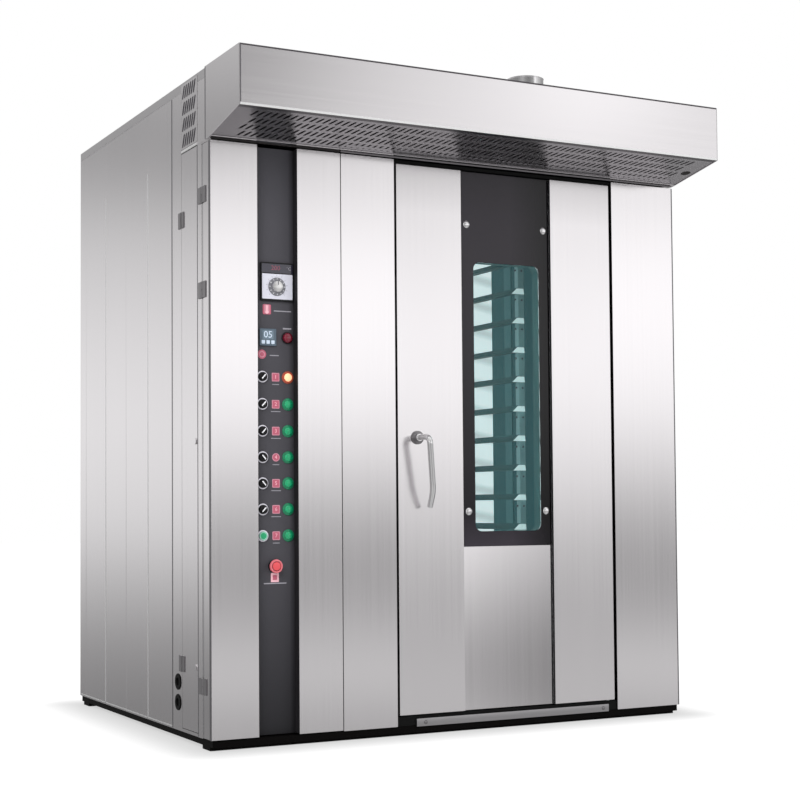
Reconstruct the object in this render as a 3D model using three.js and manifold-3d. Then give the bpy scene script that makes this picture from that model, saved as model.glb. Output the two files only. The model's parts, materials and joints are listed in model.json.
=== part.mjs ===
// Rotating rack oven: a free-standing bakery oven that turns a wheeled tray
// rack in hot air behind one wide glazed door.
//
// Millimetres, +Z up, +Y to the rear.  Every piece is drawn in the cabinet's
// own coordinates: t runs to the right from the cabinet's left edge, s runs
// back from its front plane, z runs up from the floor.  The group at the end
// moves that corner so that the origin is under the middle of the whole oven.

import * as THREE from 'three';
import { mergeVertices } from 'three/addons/utils/BufferGeometryUtils.js';
import Module from 'manifold-3d';

const wasm = await Module();
wasm.setup();

// ---------------------------------------------------------------- dimensions

const WIDTH = 1836;             // cabinet over its side skins
const DEPTH = 1456;             // front plane to rear skin
const HEIGHT = 2200;            // floor to the top of roof and hood
const OVERHANG = 264;           // hood in front of the front plane
const HOOD_PROUD = 6;           // hood side plates beyond the cabinet's sides
const SHEET = 2.4;              // folded stainless sheet
const GAP = 0.4;                // between pieces that touch
const SLAB = 20;                // insulated side panels
const REAR_SLAB = 40;

const BASE_BOTTOM = 12;         // the slab stands on two skids
const BASE_TOP = 34;
const BASE_INSET = 6;
const SKID_SETBACK = 30;
const SKID_DEPTH = 70;
const STAND = BASE_TOP + GAP;   // where uprights stand on the base
const PANEL_TOP = 1955;         // control door and fixed front panels
const SIDE_TOP = 2170;          // side panels, under the roof's flange
const HOOD_BOTTOM = 1962;       // where the hood meets the cabinet
const HOOD_LIP = 2009;          // lower edge of the hood's fascia
const HOOD_BACK = 34;           // the hood reaches this far behind the front plane

const CONTROL_DOOR = { right: 461, depth: 66, axisS: 74 };
const FASCIA = { left: 162, right: 304, front: 34, plate: 2.6 };
const LEFT_PANEL = { left: 463.6, right: 664 };
const RIGHT_PANEL = { left: 1560, right: WIDTH };

const DOOR = {
  left: 672, right: 1547, bottom: 71, top: 1940, depth: 65,
  recessLeft: 925, recessRight: 1293, recess: 12,
  axisT: 1530, axisS: 20,
};
const WINDOW = { left: 980, right: 1249, bottom: 685, top: 1625, radius: 25, frameBottom: 633, glass: 6 };
const OPENING = { left: 800, right: 1490, bottom: 90, top: 1890 };   // the doorway in its surround
const SURROUND = { front: 70, back: 130, left: 464, right: WIDTH - SLAB - GAP };
const WEB = 4;                  // clearance over and under the door
const CHAMBER = { left: 540, right: 1690, back: 1074, floor: 70, ceiling: 1900, ceilingTop: 1945 };

const HANDLE = { t: 746, z: 1007, tube: 20, reach: 98, drop: 182, lean: 20, bore: 14 };
const LATCH = { length: 34, width: 12, front: 76, back: 83, room: 19 };
const PIVOT = { radius: 7, clearance: 0.6, length: 11 };           // door pivots

const HINGE = { radius: 6, height: 53, leaf: 2.4, leafWidth: 24 };
const CONTROL_HINGES = [201, 1479, 1789];      // centre heights
const SERVICE = { front: 123.4, back: 270, bottom: 47, top: HOOD_BOTTOM, axisS: 271, axisOut: 3, depth: 20 };
const SERVICE_HINGES = [258, 1737];
const SERVICE_LOCKS = [256, 991];
const SIDE_SEAMS = [619, 870, 1116, 1377];     // joints between the side panels, the last at the corner post
const MID_POST = { front: 272, back: 356, depth: 40 };
const CABLE_ENTRY = { s: 311, heights: [127, 195], diameter: 44 };

const RACK = {
  t: 1110, s: 600, width: 600, depth: 460, tube: 25,
  base: 190, baseTop: 215, top: 1800, topTop: 1825,
  firstLevel: 238, pitch: 112, levels: 14, rail: 30, railSheet: 3,
};
const CASTER = { radius: 48, width: 28, bore: 11, pin: 10, t: 255, s: 185, z: 128, trail: 25 };
const SHAFT = { diameter: 30, clearance: 3, bottom: 1850, top: 2005 };
const FAN = { t: 1110, s: 1250, radius: 150, bottom: 1720, height: 90, blades: 10, shaft: 24 };
const GRILLE = {
  lip: 18, side: 4, front: 10, back: 3, sheet: 1.6,
  rows: 5, columns: 18, slot: 16, bridge: 5, plainEnd: 60, plainEdge: 25,
};
const COLLAR = { t: 1115, s: -125, radius: 63.5, wall: 2, height: 50, flange: 78 };

const CONTROL_COLUMNS = { left: 190, right: 281 };
const SELECTOR_ROWS = [1200, 1111, 1023, 937, 852, 767];
const BUTTON_ROW = 681;
const POINTS_LEFT = [3, 4];                    // selectors turned to the left, counted from 0
const SELECTOR_TURN = Math.PI / 4;
const BUTTON_TRAVEL = 4;                       // push button and emergency stop
const COLLAR_HEIGHT = 5;                       // fixed collar behind each knob and button
const STOP = { t: 229, z: 582, radius: 24 };
const CONTROLLER = { t: 243, bottom: 1450, top: 1577, width: 118, depth: 7, dialT: 241, dialZ: 1497 };
const TIMER = { t: 210, z: 1330, width: 59, height: 56, depth: 6 };
const ALARM = { t: 280, z: 1330, radius: 17.5, height: 16 };

const ROUND = 20;               // facets round a part seen close up
const SMALL_ROUND = 12;         // facets round a small part

// ----------------------------------------------------------------- materials

const finish = (color, roughness, metalness) =>
  new THREE.MeshStandardMaterial({ color, roughness, metalness });

const MATERIAL = {
  stainless: finish(0xc9cacb, 0.34, 0.9),
  galvanised: finish(0xa9adb0, 0.5, 0.8),
  blackPaint: finish(0x0d0d0e, 0.55, 0.1),
  fascia: finish(0x4b4a50, 0.45, 0.1),
  blackGlass: finish(0x2c2b31, 0.1, 0.0),
  clearGlass: finish(0x8fb0ae, 0.05, 0.0),
  silicone: finish(0x2a2526, 0.75, 0.0),
  polished: finish(0xdcdddd, 0.16, 1.0),
  blackPlastic: finish(0x131314, 0.4, 0.0),
  whitePlastic: finish(0xe6e6e2, 0.4, 0.0),
  green: finish(0x0ea067, 0.3, 0.0),
  red: finish(0xe8404a, 0.35, 0.0),
  motorGrey: finish(0x6d7478, 0.5, 0.3),
};

// ------------------------------------------------------------- shape helpers

const polygon = (points) => new THREE.Shape(points.map(([x, y]) => new THREE.Vector2(x, y)));

/** A rectangle as a shape or a hole. */
const rectangle = (x0, x1, y0, y1) => polygon([[x0, y0], [x1, y0], [x1, y1], [x0, y1]]);

/** A rectangle with round corners. */
function roundedRectangle(x0, x1, y0, y1, radius) {
  const shape = new THREE.Shape();
  const corners = [[x1, y0, -90], [x1, y1, 0], [x0, y1, 90], [x0, y0, 180]];
  for (const [x, y, start] of corners) {
    const cx = x + (x === x1 ? -radius : radius);
    const cy = y + (y === y1 ? -radius : radius);
    const from = THREE.MathUtils.degToRad(start);
    shape.absarc(cx, cy, radius, from, from + Math.PI / 2, false);
  }
  return shape;
}

/** A path moved to its left by a distance, with mitred corners. */
function offsetPath(path, distance) {
  const points = path.map(([x, y]) => new THREE.Vector2(x, y));
  const side = (from, to) => {
    const along = to.clone().sub(from).normalize();
    return new THREE.Vector2(-along.y, along.x);
  };
  return points.map((point, i) => {
    const before = i > 0 ? side(points[i - 1], point) : side(point, points[i + 1]);
    const after = i < points.length - 1 ? side(point, points[i + 1]) : before;
    const mitre = distance / (1 + before.dot(after));
    return point.clone().add(before.clone().add(after).multiplyScalar(mitre)).toArray();
  });
}

/** The section of a sheet of even thickness folded along a path; its body is on the path's left. */
const folded = (path, thickness = SHEET) =>
  polygon([...path, ...offsetPath(path, thickness).reverse()]);

const AXIS_BASIS = {
  x: [new THREE.Vector3(0, 1, 0), new THREE.Vector3(0, 0, 1), new THREE.Vector3(1, 0, 0)],
  y: [new THREE.Vector3(1, 0, 0), new THREE.Vector3(0, 0, 1), new THREE.Vector3(0, -1, 0)],
  z: [new THREE.Vector3(1, 0, 0), new THREE.Vector3(0, 1, 0), new THREE.Vector3(0, 0, 1)],
};

/** Extrudes a section along an axis.  The section is (y, z) for x, (x, z) for y and (x, y) for z. */
function extrude(shape, axis, from, to, curveSegments = 2) {
  const geometry = new THREE.ExtrudeGeometry(shape, { depth: to - from, bevelEnabled: false, curveSegments });
  geometry.applyMatrix4(new THREE.Matrix4().makeBasis(...AXIS_BASIS[axis]));
  const start = { x: [from, 0, 0], y: [0, to, 0], z: [0, 0, from] }[axis];
  return geometry.translate(...start);
}

const box = (x0, x1, y0, y1, z0, z1) => extrude(rectangle(x0, x1, y0, y1), 'z', z0, z1);

const AXIS_TURN = { x: [0, 0, -Math.PI / 2], y: [0, 0, 0], z: [Math.PI / 2, 0, 0] };

/** Turns a lathe's own Y axis to x, y or z, and moves it. */
function aim(geometry, axis, at) {
  const turn = new THREE.Matrix4().makeRotationFromEuler(new THREE.Euler(...AXIS_TURN[axis]));
  return geometry.applyMatrix4(turn).translate(...at);
}

/** A solid of revolution; the profile is (radius, distance along the axis), in either direction. */
function turned(profile, axis, at = [0, 0, 0], facets = ROUND) {
  const points = profile.map(([radius, along]) => new THREE.Vector2(radius, along));
  if (THREE.ShapeUtils.isClockWise(points)) points.reverse();
  return aim(new THREE.LatheGeometry(points, facets), axis, at);
}

const rod = (radius, length, axis, at, facets = SMALL_ROUND) =>
  turned([[0, 0], [radius, 0], [radius, length], [0, length]], axis, at, facets);

const ring = (inner, outer, length, axis, at, facets = ROUND) =>
  turned([[inner, 0], [outer, 0], [outer, length], [inner, length], [inner, 0]], axis, at, facets);

/** A round bar bent along a curve. */
function bentBar(curve, diameter, steps, facets = 10) {
  const section = new THREE.Shape();
  section.absarc(0, 0, diameter / 2, 0, 2 * Math.PI, false);
  return new THREE.ExtrudeGeometry(section, { steps, extrudePath: curve, curveSegments: facets / 2 });
}

/** Three-dimensional polyline with its corners rounded to a radius. */
function roundedPath(points, radius) {
  const path = new THREE.CurvePath();
  const nodes = points.map((p) => new THREE.Vector3(...p));
  let start = nodes[0];
  for (let i = 1; i < nodes.length - 1; i += 1) {
    const back = nodes[i - 1].clone().sub(nodes[i]).normalize().multiplyScalar(radius).add(nodes[i]);
    const ahead = nodes[i + 1].clone().sub(nodes[i]).normalize().multiplyScalar(radius).add(nodes[i]);
    path.add(new THREE.LineCurve3(start, back));
    path.add(new THREE.QuadraticBezierCurve3(back, nodes[i], ahead));
    start = ahead;
  }
  path.add(new THREE.LineCurve3(start, nodes[nodes.length - 1]));
  return path;
}

function toSolid(geometry) {
  const bare = geometry.clone();
  bare.deleteAttribute('normal');
  bare.deleteAttribute('uv');
  const merged = mergeVertices(bare, 1e-3);
  return new wasm.Manifold(new wasm.Mesh({
    numProp: 3,
    vertProperties: Float32Array.from(merged.attributes.position.array),
    triVerts: Uint32Array.from(merged.index.array),
  }));
}

function toGeometry(solid) {
  const mesh = solid.getMesh();
  const geometry = new THREE.BufferGeometry();
  geometry.setAttribute('position', new THREE.BufferAttribute(mesh.vertProperties, 3));
  geometry.setIndex(new THREE.BufferAttribute(mesh.triVerts, 1));
  geometry.computeVertexNormals();
  return geometry;
}

const joined = (...geometries) =>
  toGeometry(geometries.map(toSolid).reduce((sum, next) => sum.add(next)));

const cut = (geometry, ...tools) =>
  toGeometry(tools.map(toSolid).reduce((left, tool) => left.subtract(tool), toSolid(geometry)));

// --------------------------------------------------------------- scene graph

const group = new THREE.Group();
const cabinet = new THREE.Group();
cabinet.position.set(-WIDTH / 2, OVERHANG / 2 - DEPTH / 2, 0);
group.add(cabinet);

function add(name, geometry, material, position = [0, 0, 0]) {
  const mesh = new THREE.Mesh(geometry, material);
  mesh.name = name;
  mesh.position.set(...position);
  cabinet.add(mesh);
  return mesh;
}

// ------------------------------------------------------------ base and shell

/** Base slab with a skid under its front and rear edges, one profile run across the oven. */
function baseFrame() {
  const back = DEPTH - BASE_INSET;
  const skidEnd = SKID_SETBACK + SKID_DEPTH;
  return extrude(polygon([
    [BASE_INSET, BASE_BOTTOM], [SKID_SETBACK, BASE_BOTTOM], [SKID_SETBACK, 0], [skidEnd, 0],
    [skidEnd, BASE_BOTTOM], [DEPTH - skidEnd, BASE_BOTTOM], [DEPTH - skidEnd, 0],
    [DEPTH - SKID_SETBACK, 0], [DEPTH - SKID_SETBACK, BASE_BOTTOM], [back, BASE_BOTTOM],
    [back, BASE_TOP], [BASE_INSET, BASE_TOP],
  ]), 'x', BASE_INSET, WIDTH - BASE_INSET);
}

/** Bar along the foot of the doorway, with round long edges. */
function thresholdBar() {
  const { left, right, bottom, top } = { left: 736, right: 1521, bottom: 30, top: 57 };
  return extrude(roundedRectangle(0, BASE_INSET - GAP, bottom, top, 2), 'x', left, right, 2);
}

/** Section of a run of side panels: the outer face is at t = 0 and has a V groove at each seam. */
function seamedPanel(front, back, seams) {
  const groove = 2;
  const outer = seams.flatMap((s) => [[0, s - groove], [groove, s], [0, s + groove]]);
  return [[0, front], ...outer, [0, back], [SLAB, back], [SLAB, front]];
}

const leftCladding = () =>
  extrude(polygon(seamedPanel(MID_POST.back + GAP, DEPTH, SIDE_SEAMS)), 'z', STAND, SIDE_TOP);

function rightCladding() {
  const section = seamedPanel(HOOD_BACK + GAP, DEPTH, [MID_POST.front, MID_POST.back, ...SIDE_SEAMS]);
  return extrude(polygon(section.map(([t, s]) => [WIDTH - t, s])), 'z', STAND, SIDE_TOP);
}

/** Rear panels between the side panels, with a V groove at each seam. */
function rearCladding() {
  const inset = SLAB + GAP;
  const section = seamedPanel(inset, WIDTH - inset, [WIDTH / 4, WIDTH / 2, WIDTH * 0.75]);
  const across = section.map(([out, t]) => [t, DEPTH - out * REAR_SLAB / SLAB]);
  return extrude(polygon(across), 'z', STAND, SIDE_TOP);
}

/** Leaf and knuckle of one hinge half on the cabinet's left side; the leaf runs from the axis to `end`. */
function hingeHalf(axisT, axisS, end, radius, bottom) {
  const height = HINGE.height / 2 - GAP;
  return [
    rod(radius, height, 'z', [axisT, axisS, bottom]),
    box(-HINGE.leaf, 1, Math.min(axisS, end), Math.max(axisS, end), bottom, bottom + height),
  ];
}

/** Upright channel on the cabinet's left side, open to the inside. */
const sideChannel = (front, back, depth, top) =>
  extrude(folded([[depth, back], [0, back], [0, front], [depth, front]]), 'z', STAND, top);

/** Channel behind the control door's hinges, with the fixed leaf and lower knuckle of each. */
function leftFrontPost() {
  const front = CONTROL_DOOR.axisS + HINGE.radius + 1;
  const channel = sideChannel(front, SERVICE.front - 0.8, 30, HOOD_BOTTOM);
  const halves = CONTROL_HINGES.flatMap((z) =>
    hingeHalf(0, CONTROL_DOOR.axisS, front + HINGE.leafWidth, HINGE.radius, z - HINGE.height / 2));
  return joined(channel, ...halves);
}

/** Channel between the service door and the side panels, with the service hinges and cable entries. */
function leftMidPost() {
  const { front, back, depth } = MID_POST;
  const channel = sideChannel(front, back, depth, SIDE_TOP);
  const foot = box(0, 12, SERVICE.front, front + 1, STAND, SERVICE.bottom - 2);
  const leafEnd = front + HINGE.leafWidth;
  const halves = SERVICE_HINGES.flatMap((z) =>
    hingeHalf(-SERVICE.axisOut, SERVICE.axisS, leafEnd, SERVICE.axisOut, z - HINGE.height / 2));
  const gapBeforeLeaf = SERVICE_HINGES.map((z) =>
    box(-1, 1.5, SERVICE.axisS - 1, front, z - HINGE.height, z + HINGE.height));
  const entries = CABLE_ENTRY.heights.map((z) =>
    rod(CABLE_ENTRY.diameter / 2, 3 * SHEET, 'x', [-SHEET, CABLE_ENTRY.s, z], 16));
  return cut(joined(channel, foot, ...halves), ...gapBeforeLeaf, ...entries);
}

/** Vented panel over the service door: a folded sheet with four rows of short slots. */
function louverPanel() {
  const front = HOOD_BACK + GAP;
  const back = MID_POST.front - 1;
  const bottom = HOOD_BOTTOM + GAP;
  const { rows, slots, height, width } = { rows: 4, slots: 5, height: 34, width: 8 };
  const area = { front: 136, back: 256, bottom: 1984, pitch: 44 };
  const pitch = (area.back - area.front) / (slots - 1);
  const cuts = [];
  for (let row = 0; row < rows; row += 1) {
    for (let slot = 0; slot < slots; slot += 1) {
      const s = area.front + slot * pitch;
      const z = area.bottom + row * area.pitch;
      cuts.push(box(-1, SHEET + 1, s - width / 2, s + width / 2, z, z + height));
    }
  }
  const sheet = box(0, SHEET, front, back, bottom, SIDE_TOP);
  const fold = box(0, 30, back - SHEET, back, bottom, SIDE_TOP);
  return cut(joined(sheet, fold), ...cuts);
}

/** Insulated roof panel, flush with the side panels. */
const roofPanel = () => box(0, WIDTH, HOOD_BACK + GAP, DEPTH, SIDE_TOP + GAP, HEIGHT);

const frontPanelLeft = () => extrude(folded([
  [LEFT_PANEL.left, SURROUND.front - GAP], [LEFT_PANEL.left, 0],
  [LEFT_PANEL.right, 0], [LEFT_PANEL.right, SURROUND.front - GAP],
]), 'z', STAND, PANEL_TOP);

const frontPanelRight = () => extrude(folded([
  [RIGHT_PANEL.left, SURROUND.front - GAP], [RIGHT_PANEL.left, 0],
  [RIGHT_PANEL.right, 0], [RIGHT_PANEL.right, HOOD_BACK],
]), 'z', STAND, PANEL_TOP);

/** Welded surround of the doorway: ring, sill, lintel, header beam, pivot bores and latch pocket. */
function doorSurround() {
  const { left, right, front, back } = SURROUND;
  const face = rectangle(left, right, STAND, CHAMBER.ceilingTop);
  face.holes.push(rectangle(OPENING.left, OPENING.right, OPENING.bottom, OPENING.top));
  const frame = extrude(face, 'y', front, back);
  const between = [LEFT_PANEL.right + GAP, RIGHT_PANEL.left - GAP];
  const sill = box(...between, BASE_INSET, front + 1, STAND, DOOR.bottom - WEB);
  const lintel = box(...between, BASE_INSET, front + 1, DOOR.top + WEB, PANEL_TOP);
  const header = box(2 * SHEET, right, HOOD_BACK + GAP, back, HOOD_BOTTOM + GAP, SIDE_TOP);
  const web = box(left, right, front, back, CHAMBER.ceilingTop - 1, HOOD_BOTTOM + 1);
  const bores = [DOOR.bottom - WEB - PIVOT.length, DOOR.top - 2].map((z) =>
    rod(PIVOT.radius + PIVOT.clearance, PIVOT.length + 6, 'z', [DOOR.axisT, DOOR.axisS, z], SMALL_ROUND));
  const pocket = (reach, from) => box(
    HANDLE.t - reach, HANDLE.t + LATCH.room, from, LATCH.back + LATCH.room,
    HANDLE.z - LATCH.length - LATCH.width, HANDLE.z + LATCH.length + LATCH.width);
  const mouth = pocket(LATCH.length - LATCH.width, front - 1);
  const behindLip = pocket(LATCH.length + LATCH.width, LATCH.front - 2);
  return cut(joined(frame, sill, lintel, header, web), ...bores, mouth, behindLip);
}

// ---------------------------------------------------------------------- hood

const SLOPE = Math.atan2(HOOD_LIP - HOOD_BOTTOM, OVERHANG);
const SLOPE_RISE = SHEET / Math.cos(SLOPE);

/** A point on the hood's sloping underside, at a distance in front of the front plane. */
const underside = (ahead) => [-ahead, HOOD_BOTTOM + ahead * Math.tan(SLOPE)];

/** Hood: one folded sheet for back, top and fascia, with a lip for the grille along both long edges. */
function hoodShell() {
  const inset = SHEET + GAP - HOOD_PROUD;
  const canopy = extrude(folded([
    underside(GRILLE.lip), [0, HOOD_BOTTOM], [HOOD_BACK, HOOD_BOTTOM], [HOOD_BACK, HEIGHT],
    [-OVERHANG, HEIGHT], underside(OVERHANG), underside(OVERHANG - GRILLE.lip),
  ]), 'x', inset, WIDTH - inset);
  const underTop = [COLLAR.t, COLLAR.s, HEIGHT - 2 * SHEET];
  return cut(canopy, rod(COLLAR.radius - COLLAR.wall, 4 * SHEET, 'z', underTop, ROUND));
}

/** End plate of the hood, from its left face. */
const hoodEnd = (left) => extrude(polygon([
  [HOOD_BACK, HOOD_BOTTOM], [HOOD_BACK, HEIGHT], [-OVERHANG, HEIGHT], underside(OVERHANG), [0, HOOD_BOTTOM],
]), 'x', left, left + SHEET);

/** Sloping grille that drops on to the hood's lips: rows of short slots, every other row staggered. */
function hoodGrille() {
  const length = (OVERHANG - GRILLE.front - GRILLE.back) / Math.cos(SLOPE);
  const left = GRILLE.side - HOOD_PROUD;
  const right = WIDTH - left;
  const pitch = (right - left - 2 * GRILLE.plainEnd) / GRILLE.columns;
  const rowPitch = (length - 2 * GRILLE.plainEdge) / GRILLE.rows;
  const slots = [];
  for (let row = 0; row < GRILLE.rows; row += 1) {
    const shift = row % 2 ? 0.75 : 0.25;
    const from = GRILLE.plainEdge - length + row * rowPitch + GRILLE.bridge;
    const to = from + rowPitch - 2 * GRILLE.bridge;
    for (let column = 0; column < GRILLE.columns; column += 1) {
      const t = left + GRILLE.plainEnd + (column + shift) * pitch;
      slots.push(box(t - GRILLE.slot / 2, t + GRILLE.slot / 2, from, to, -1, 2 * GRILLE.sheet));
    }
  }
  const plate = cut(box(left, right, -length, 0, 0, GRILLE.sheet), ...slots);
  const [back, seat] = underside(GRILLE.back);
  return plate.applyMatrix4(new THREE.Matrix4().makeRotationX(-SLOPE))
    .translate(0, back, seat + SLOPE_RISE + GAP);
}

/** Round outlet on the hood's top, with a flange. */
function exhaustCollar() {
  const inner = COLLAR.radius - COLLAR.wall;
  return turned([
    [inner, 0], [COLLAR.flange, 0], [COLLAR.flange, COLLAR.wall], [COLLAR.radius, COLLAR.wall],
    [COLLAR.radius, COLLAR.height - GAP], [inner, COLLAR.height - GAP], [inner, 0],
  ], 'z', [COLLAR.t, COLLAR.s, HEIGHT + GAP]);
}

// ------------------------------------------------------------- baking chamber

const INSULATED = {
  left: SURROUND.left, right: SURROUND.right, front: SURROUND.back + GAP, back: DEPTH - REAR_SLAB - GAP,
};

/** A slab of the insulated chamber between two widths and two heights. */
const chamberSlab = (left, right, bottom, top) =>
  box(left, right, INSULATED.front, INSULATED.back, bottom, top);

const chamberFloor = () => chamberSlab(INSULATED.left, INSULATED.right, STAND, CHAMBER.floor);

/** Roof of the chamber, with bores for the rack's drive shaft and the fan's shaft. */
function chamberCeiling() {
  const thickness = CHAMBER.ceilingTop - CHAMBER.ceiling + 2;
  const bore = (part, diameter) =>
    rod(diameter / 2 + SHAFT.clearance, thickness, 'z', [part.t, part.s, CHAMBER.ceiling - 1], ROUND);
  return cut(chamberSlab(INSULATED.left, INSULATED.right, CHAMBER.ceiling, CHAMBER.ceilingTop),
    bore(RACK, SHAFT.diameter), bore(FAN, FAN.shaft));
}

const sideWall = (left, right) => chamberSlab(left, right, CHAMBER.floor + GAP, CHAMBER.ceiling - GAP);

/** Baffle at the chamber's back, with a column of air slots near each side. */
function chamberRearWall() {
  const thickness = 4 * SHEET;
  const sheet = box(CHAMBER.left + GAP, CHAMBER.right - GAP, CHAMBER.back, CHAMBER.back + thickness,
    CHAMBER.floor + GAP, CHAMBER.ceiling - GAP);
  const slot = { width: 90, height: 24, pitch: 184, count: 9, inset: 110 };
  const slots = [];
  for (let row = 0; row < slot.count; row += 1) {
    const z = CHAMBER.floor + slot.inset + row * slot.pitch;
    for (const t of [CHAMBER.left + slot.inset, CHAMBER.right - slot.inset - slot.width]) {
      slots.push(box(t, t + slot.width, CHAMBER.back - 1, CHAMBER.back + thickness + 1, z, z + slot.height));
    }
  }
  return cut(sheet, ...slots);
}

/** Tubular heating elements: U-shaped tubes that stand out of a header plate on the rear wall. */
function heaterBank() {
  const tube = { diameter: 16, count: 5, reach: 260, rise: 110, pitch: 210, first: 420, bend: 40 };
  const back = INSULATED.back;
  const plate = box(FAN.t - 60, FAN.t + 60, back - 6, back, tube.first - 60,
    tube.first + tube.count * tube.pitch + 20);
  const tubes = Array.from({ length: tube.count }, (_, i) => {
    const z = tube.first + i * tube.pitch;
    const path = roundedPath([
      [FAN.t, back - 3, z], [FAN.t, back - tube.reach, z],
      [FAN.t, back - tube.reach, z + tube.rise], [FAN.t, back - 3, z + tube.rise],
    ], tube.bend);
    return bentBar(path, tube.diameter, 11, 6);
  });
  return joined(plate, ...tubes);
}

/** Gearbox over the chamber with its motor on the side and a socket for the drive shaft below. */
function rackGearmotor() {
  const seat = CHAMBER.ceilingTop + GAP;
  const half = 85;
  const gearbox = box(RACK.t - half, RACK.t + half, RACK.s - half, RACK.s + half, seat, seat + 118);
  const motor = rod(56, 210, 'y', [RACK.t, RACK.s + half - 2, seat + 62], ROUND);
  const socket = rod(SHAFT.diameter / 2 + 1, SHAFT.top + 5 - seat, 'z', [RACK.t, RACK.s, seat - 1], ROUND);
  return cut(joined(gearbox, motor), socket);
}

/** Flange motor over the plenum, with a socket for the fan's shaft. */
function fanMotor() {
  const seat = CHAMBER.ceilingTop + GAP;
  const body = turned([[0, 0], [105, 0], [105, 10], [74, 10], [74, 176], [62, 190], [0, 190]],
    'z', [FAN.t, FAN.s, seat], 16);
  const socket = rod(FAN.shaft / 2 + 1, 61, 'z', [FAN.t, FAN.s, seat - 1]);
  return cut(body, socket);
}

/** Centrifugal fan: back plate, inlet ring, backward-curved blades and shaft. */
function fanWheel() {
  const plate = 3;
  const back = rod(FAN.radius, plate, 'z', [0, 0, FAN.height - plate], ROUND);
  const inlet = ring(FAN.radius * 0.6, FAN.radius, plate, 'z', [0, 0, 0], ROUND);
  const hub = rod(30, 34, 'z', [0, 0, FAN.height - 34], SMALL_ROUND);
  const top = CHAMBER.ceilingTop + 55 - FAN.bottom;
  const shaft = rod(FAN.shaft / 2, top - FAN.height + 2, 'z', [0, 0, FAN.height - 2], SMALL_ROUND);
  const stations = 4;
  const blades = Array.from({ length: FAN.blades }, (_, i) => {
    const start = (i / FAN.blades) * 2 * Math.PI;
    const path = Array.from({ length: stations }, (_unused, k) => {
      const along = k / (stations - 1);
      const radius = FAN.radius * (0.5 + 0.47 * along);
      const turn = start - 0.6 * along * along - 0.25 * along;
      return [radius * Math.cos(turn), radius * Math.sin(turn)];
    });
    return extrude(folded(path, 2.5), 'z', 1, FAN.height - 1);
  });
  return joined(back, inlet, hub, shaft, ...blades);
}

// ----------------------------------------------------------------- tray rack

const rackSide = {
  left: -RACK.width / 2, right: RACK.width / 2, front: -RACK.depth / 2, back: RACK.depth / 2,
};

/** One side of the rack: two uprights joined by angle rails that carry the trays. */
function rackLadder(sign) {
  const outer = sign * rackSide.right;
  const inner = outer - sign * RACK.tube;
  const across = [Math.min(outer, inner), Math.max(outer, inner)];
  const uprights = [rackSide.front, rackSide.back - RACK.tube].map((y) =>
    box(...across, y, y + RACK.tube, RACK.baseTop + GAP, RACK.top - GAP));
  const root = inner + sign * 0.5;
  const angle = [[0, -RACK.railSheet], [RACK.rail, -RACK.railSheet], [RACK.rail, 0],
    [RACK.railSheet, 0], [RACK.railSheet, 20], [0, 20]];
  const rails = Array.from({ length: RACK.levels }, (_, level) => {
    const z = RACK.firstLevel + level * RACK.pitch;
    const section = polygon(angle.map(([across, up]) => [root - sign * across, z + up]));
    return extrude(section, 'y', rackSide.front, rackSide.back);
  });
  return joined(...uprights, ...rails);
}

/** Rectangular tube frame of the rack with one bar across its middle. */
function rackFrame(bottom, top) {
  const { left, right, front, back } = rackSide;
  const bar = RACK.tube;
  const outline = rectangle(left, right, front, back);
  outline.holes.push(rectangle(left + bar, right - bar, front + bar, -bar / 2));
  outline.holes.push(rectangle(left + bar, right - bar, bar / 2, back - bar));
  return extrude(outline, 'z', bottom, top);
}

/** Plate, legs and axle pin of a caster, hung below `top`; the axle trails behind the plate's front. */
function casterFork(x, y, top, trail = 0) {
  const leg = 3;
  const inside = CASTER.width / 2 + 1.5;
  const half = 10;
  const plate = box(x - inside - leg, x + inside + leg, y - 28, y + trail + 28, top - 5, top);
  const side = polygon([
    [y - 26, top - 4], [y + trail - half, CASTER.z - half], [y + trail + half, CASTER.z - half],
    [y + trail + 26, top - 4],
  ]);
  const legs = [-inside - leg, inside].map((offset) => extrude(side, 'x', x + offset, x + offset + leg));
  const pin = rod(CASTER.pin / 2, 2 * inside + 2 * leg, 'x', [x - inside - leg, y + trail, CASTER.z]);
  return [plate, ...legs, pin];
}

/** Base of the rack: tube frame, corner plates and the two rear casters' fixed forks. */
function rackBase() {
  const frame = rackFrame(RACK.base, RACK.baseTop);
  const plateSize = 34;
  const corners = [[-1, -1], [1, -1], [-1, 1], [1, 1]].map(([i, j]) => {
    const x = i * CASTER.t;
    const y = j * CASTER.s;
    return box(Math.min(x - plateSize, x + plateSize), x + plateSize, y - plateSize, y + plateSize,
      RACK.base - 3, RACK.base + 1);
  });
  const stemBores = [-1, 1].map((i) =>
    rod(6.6, 12, 'z', [i * CASTER.t, -CASTER.s, RACK.base - 5]));
  const fixed = [-1, 1].flatMap((i) => casterFork(i * CASTER.t, CASTER.s, RACK.base - 2.5));
  return cut(joined(frame, ...corners, ...fixed), ...stemBores);
}

/** Swivelling fork of a front caster: its stem turns in the rack's corner plate. */
function swivelFork() {
  const top = RACK.base - 3 - 1;
  return joined(...casterFork(0, 0, top, CASTER.trail), rod(6, 9, 'z', [0, 0, top - 1]));
}

/** Caster wheel: a tread with round shoulders and a bore for its pin. */
function casterWheel() {
  const { radius, bore } = CASTER;
  const [half, shoulder] = [CASTER.width / 2, 3];
  return turned([
    [bore / 2, -half], [radius - shoulder, -half], [radius, shoulder - half], [radius, half - shoulder],
    [radius - shoulder, half], [bore / 2, half], [bore / 2, -half],
  ], 'x', [0, 0, 0], 14);
}

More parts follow.
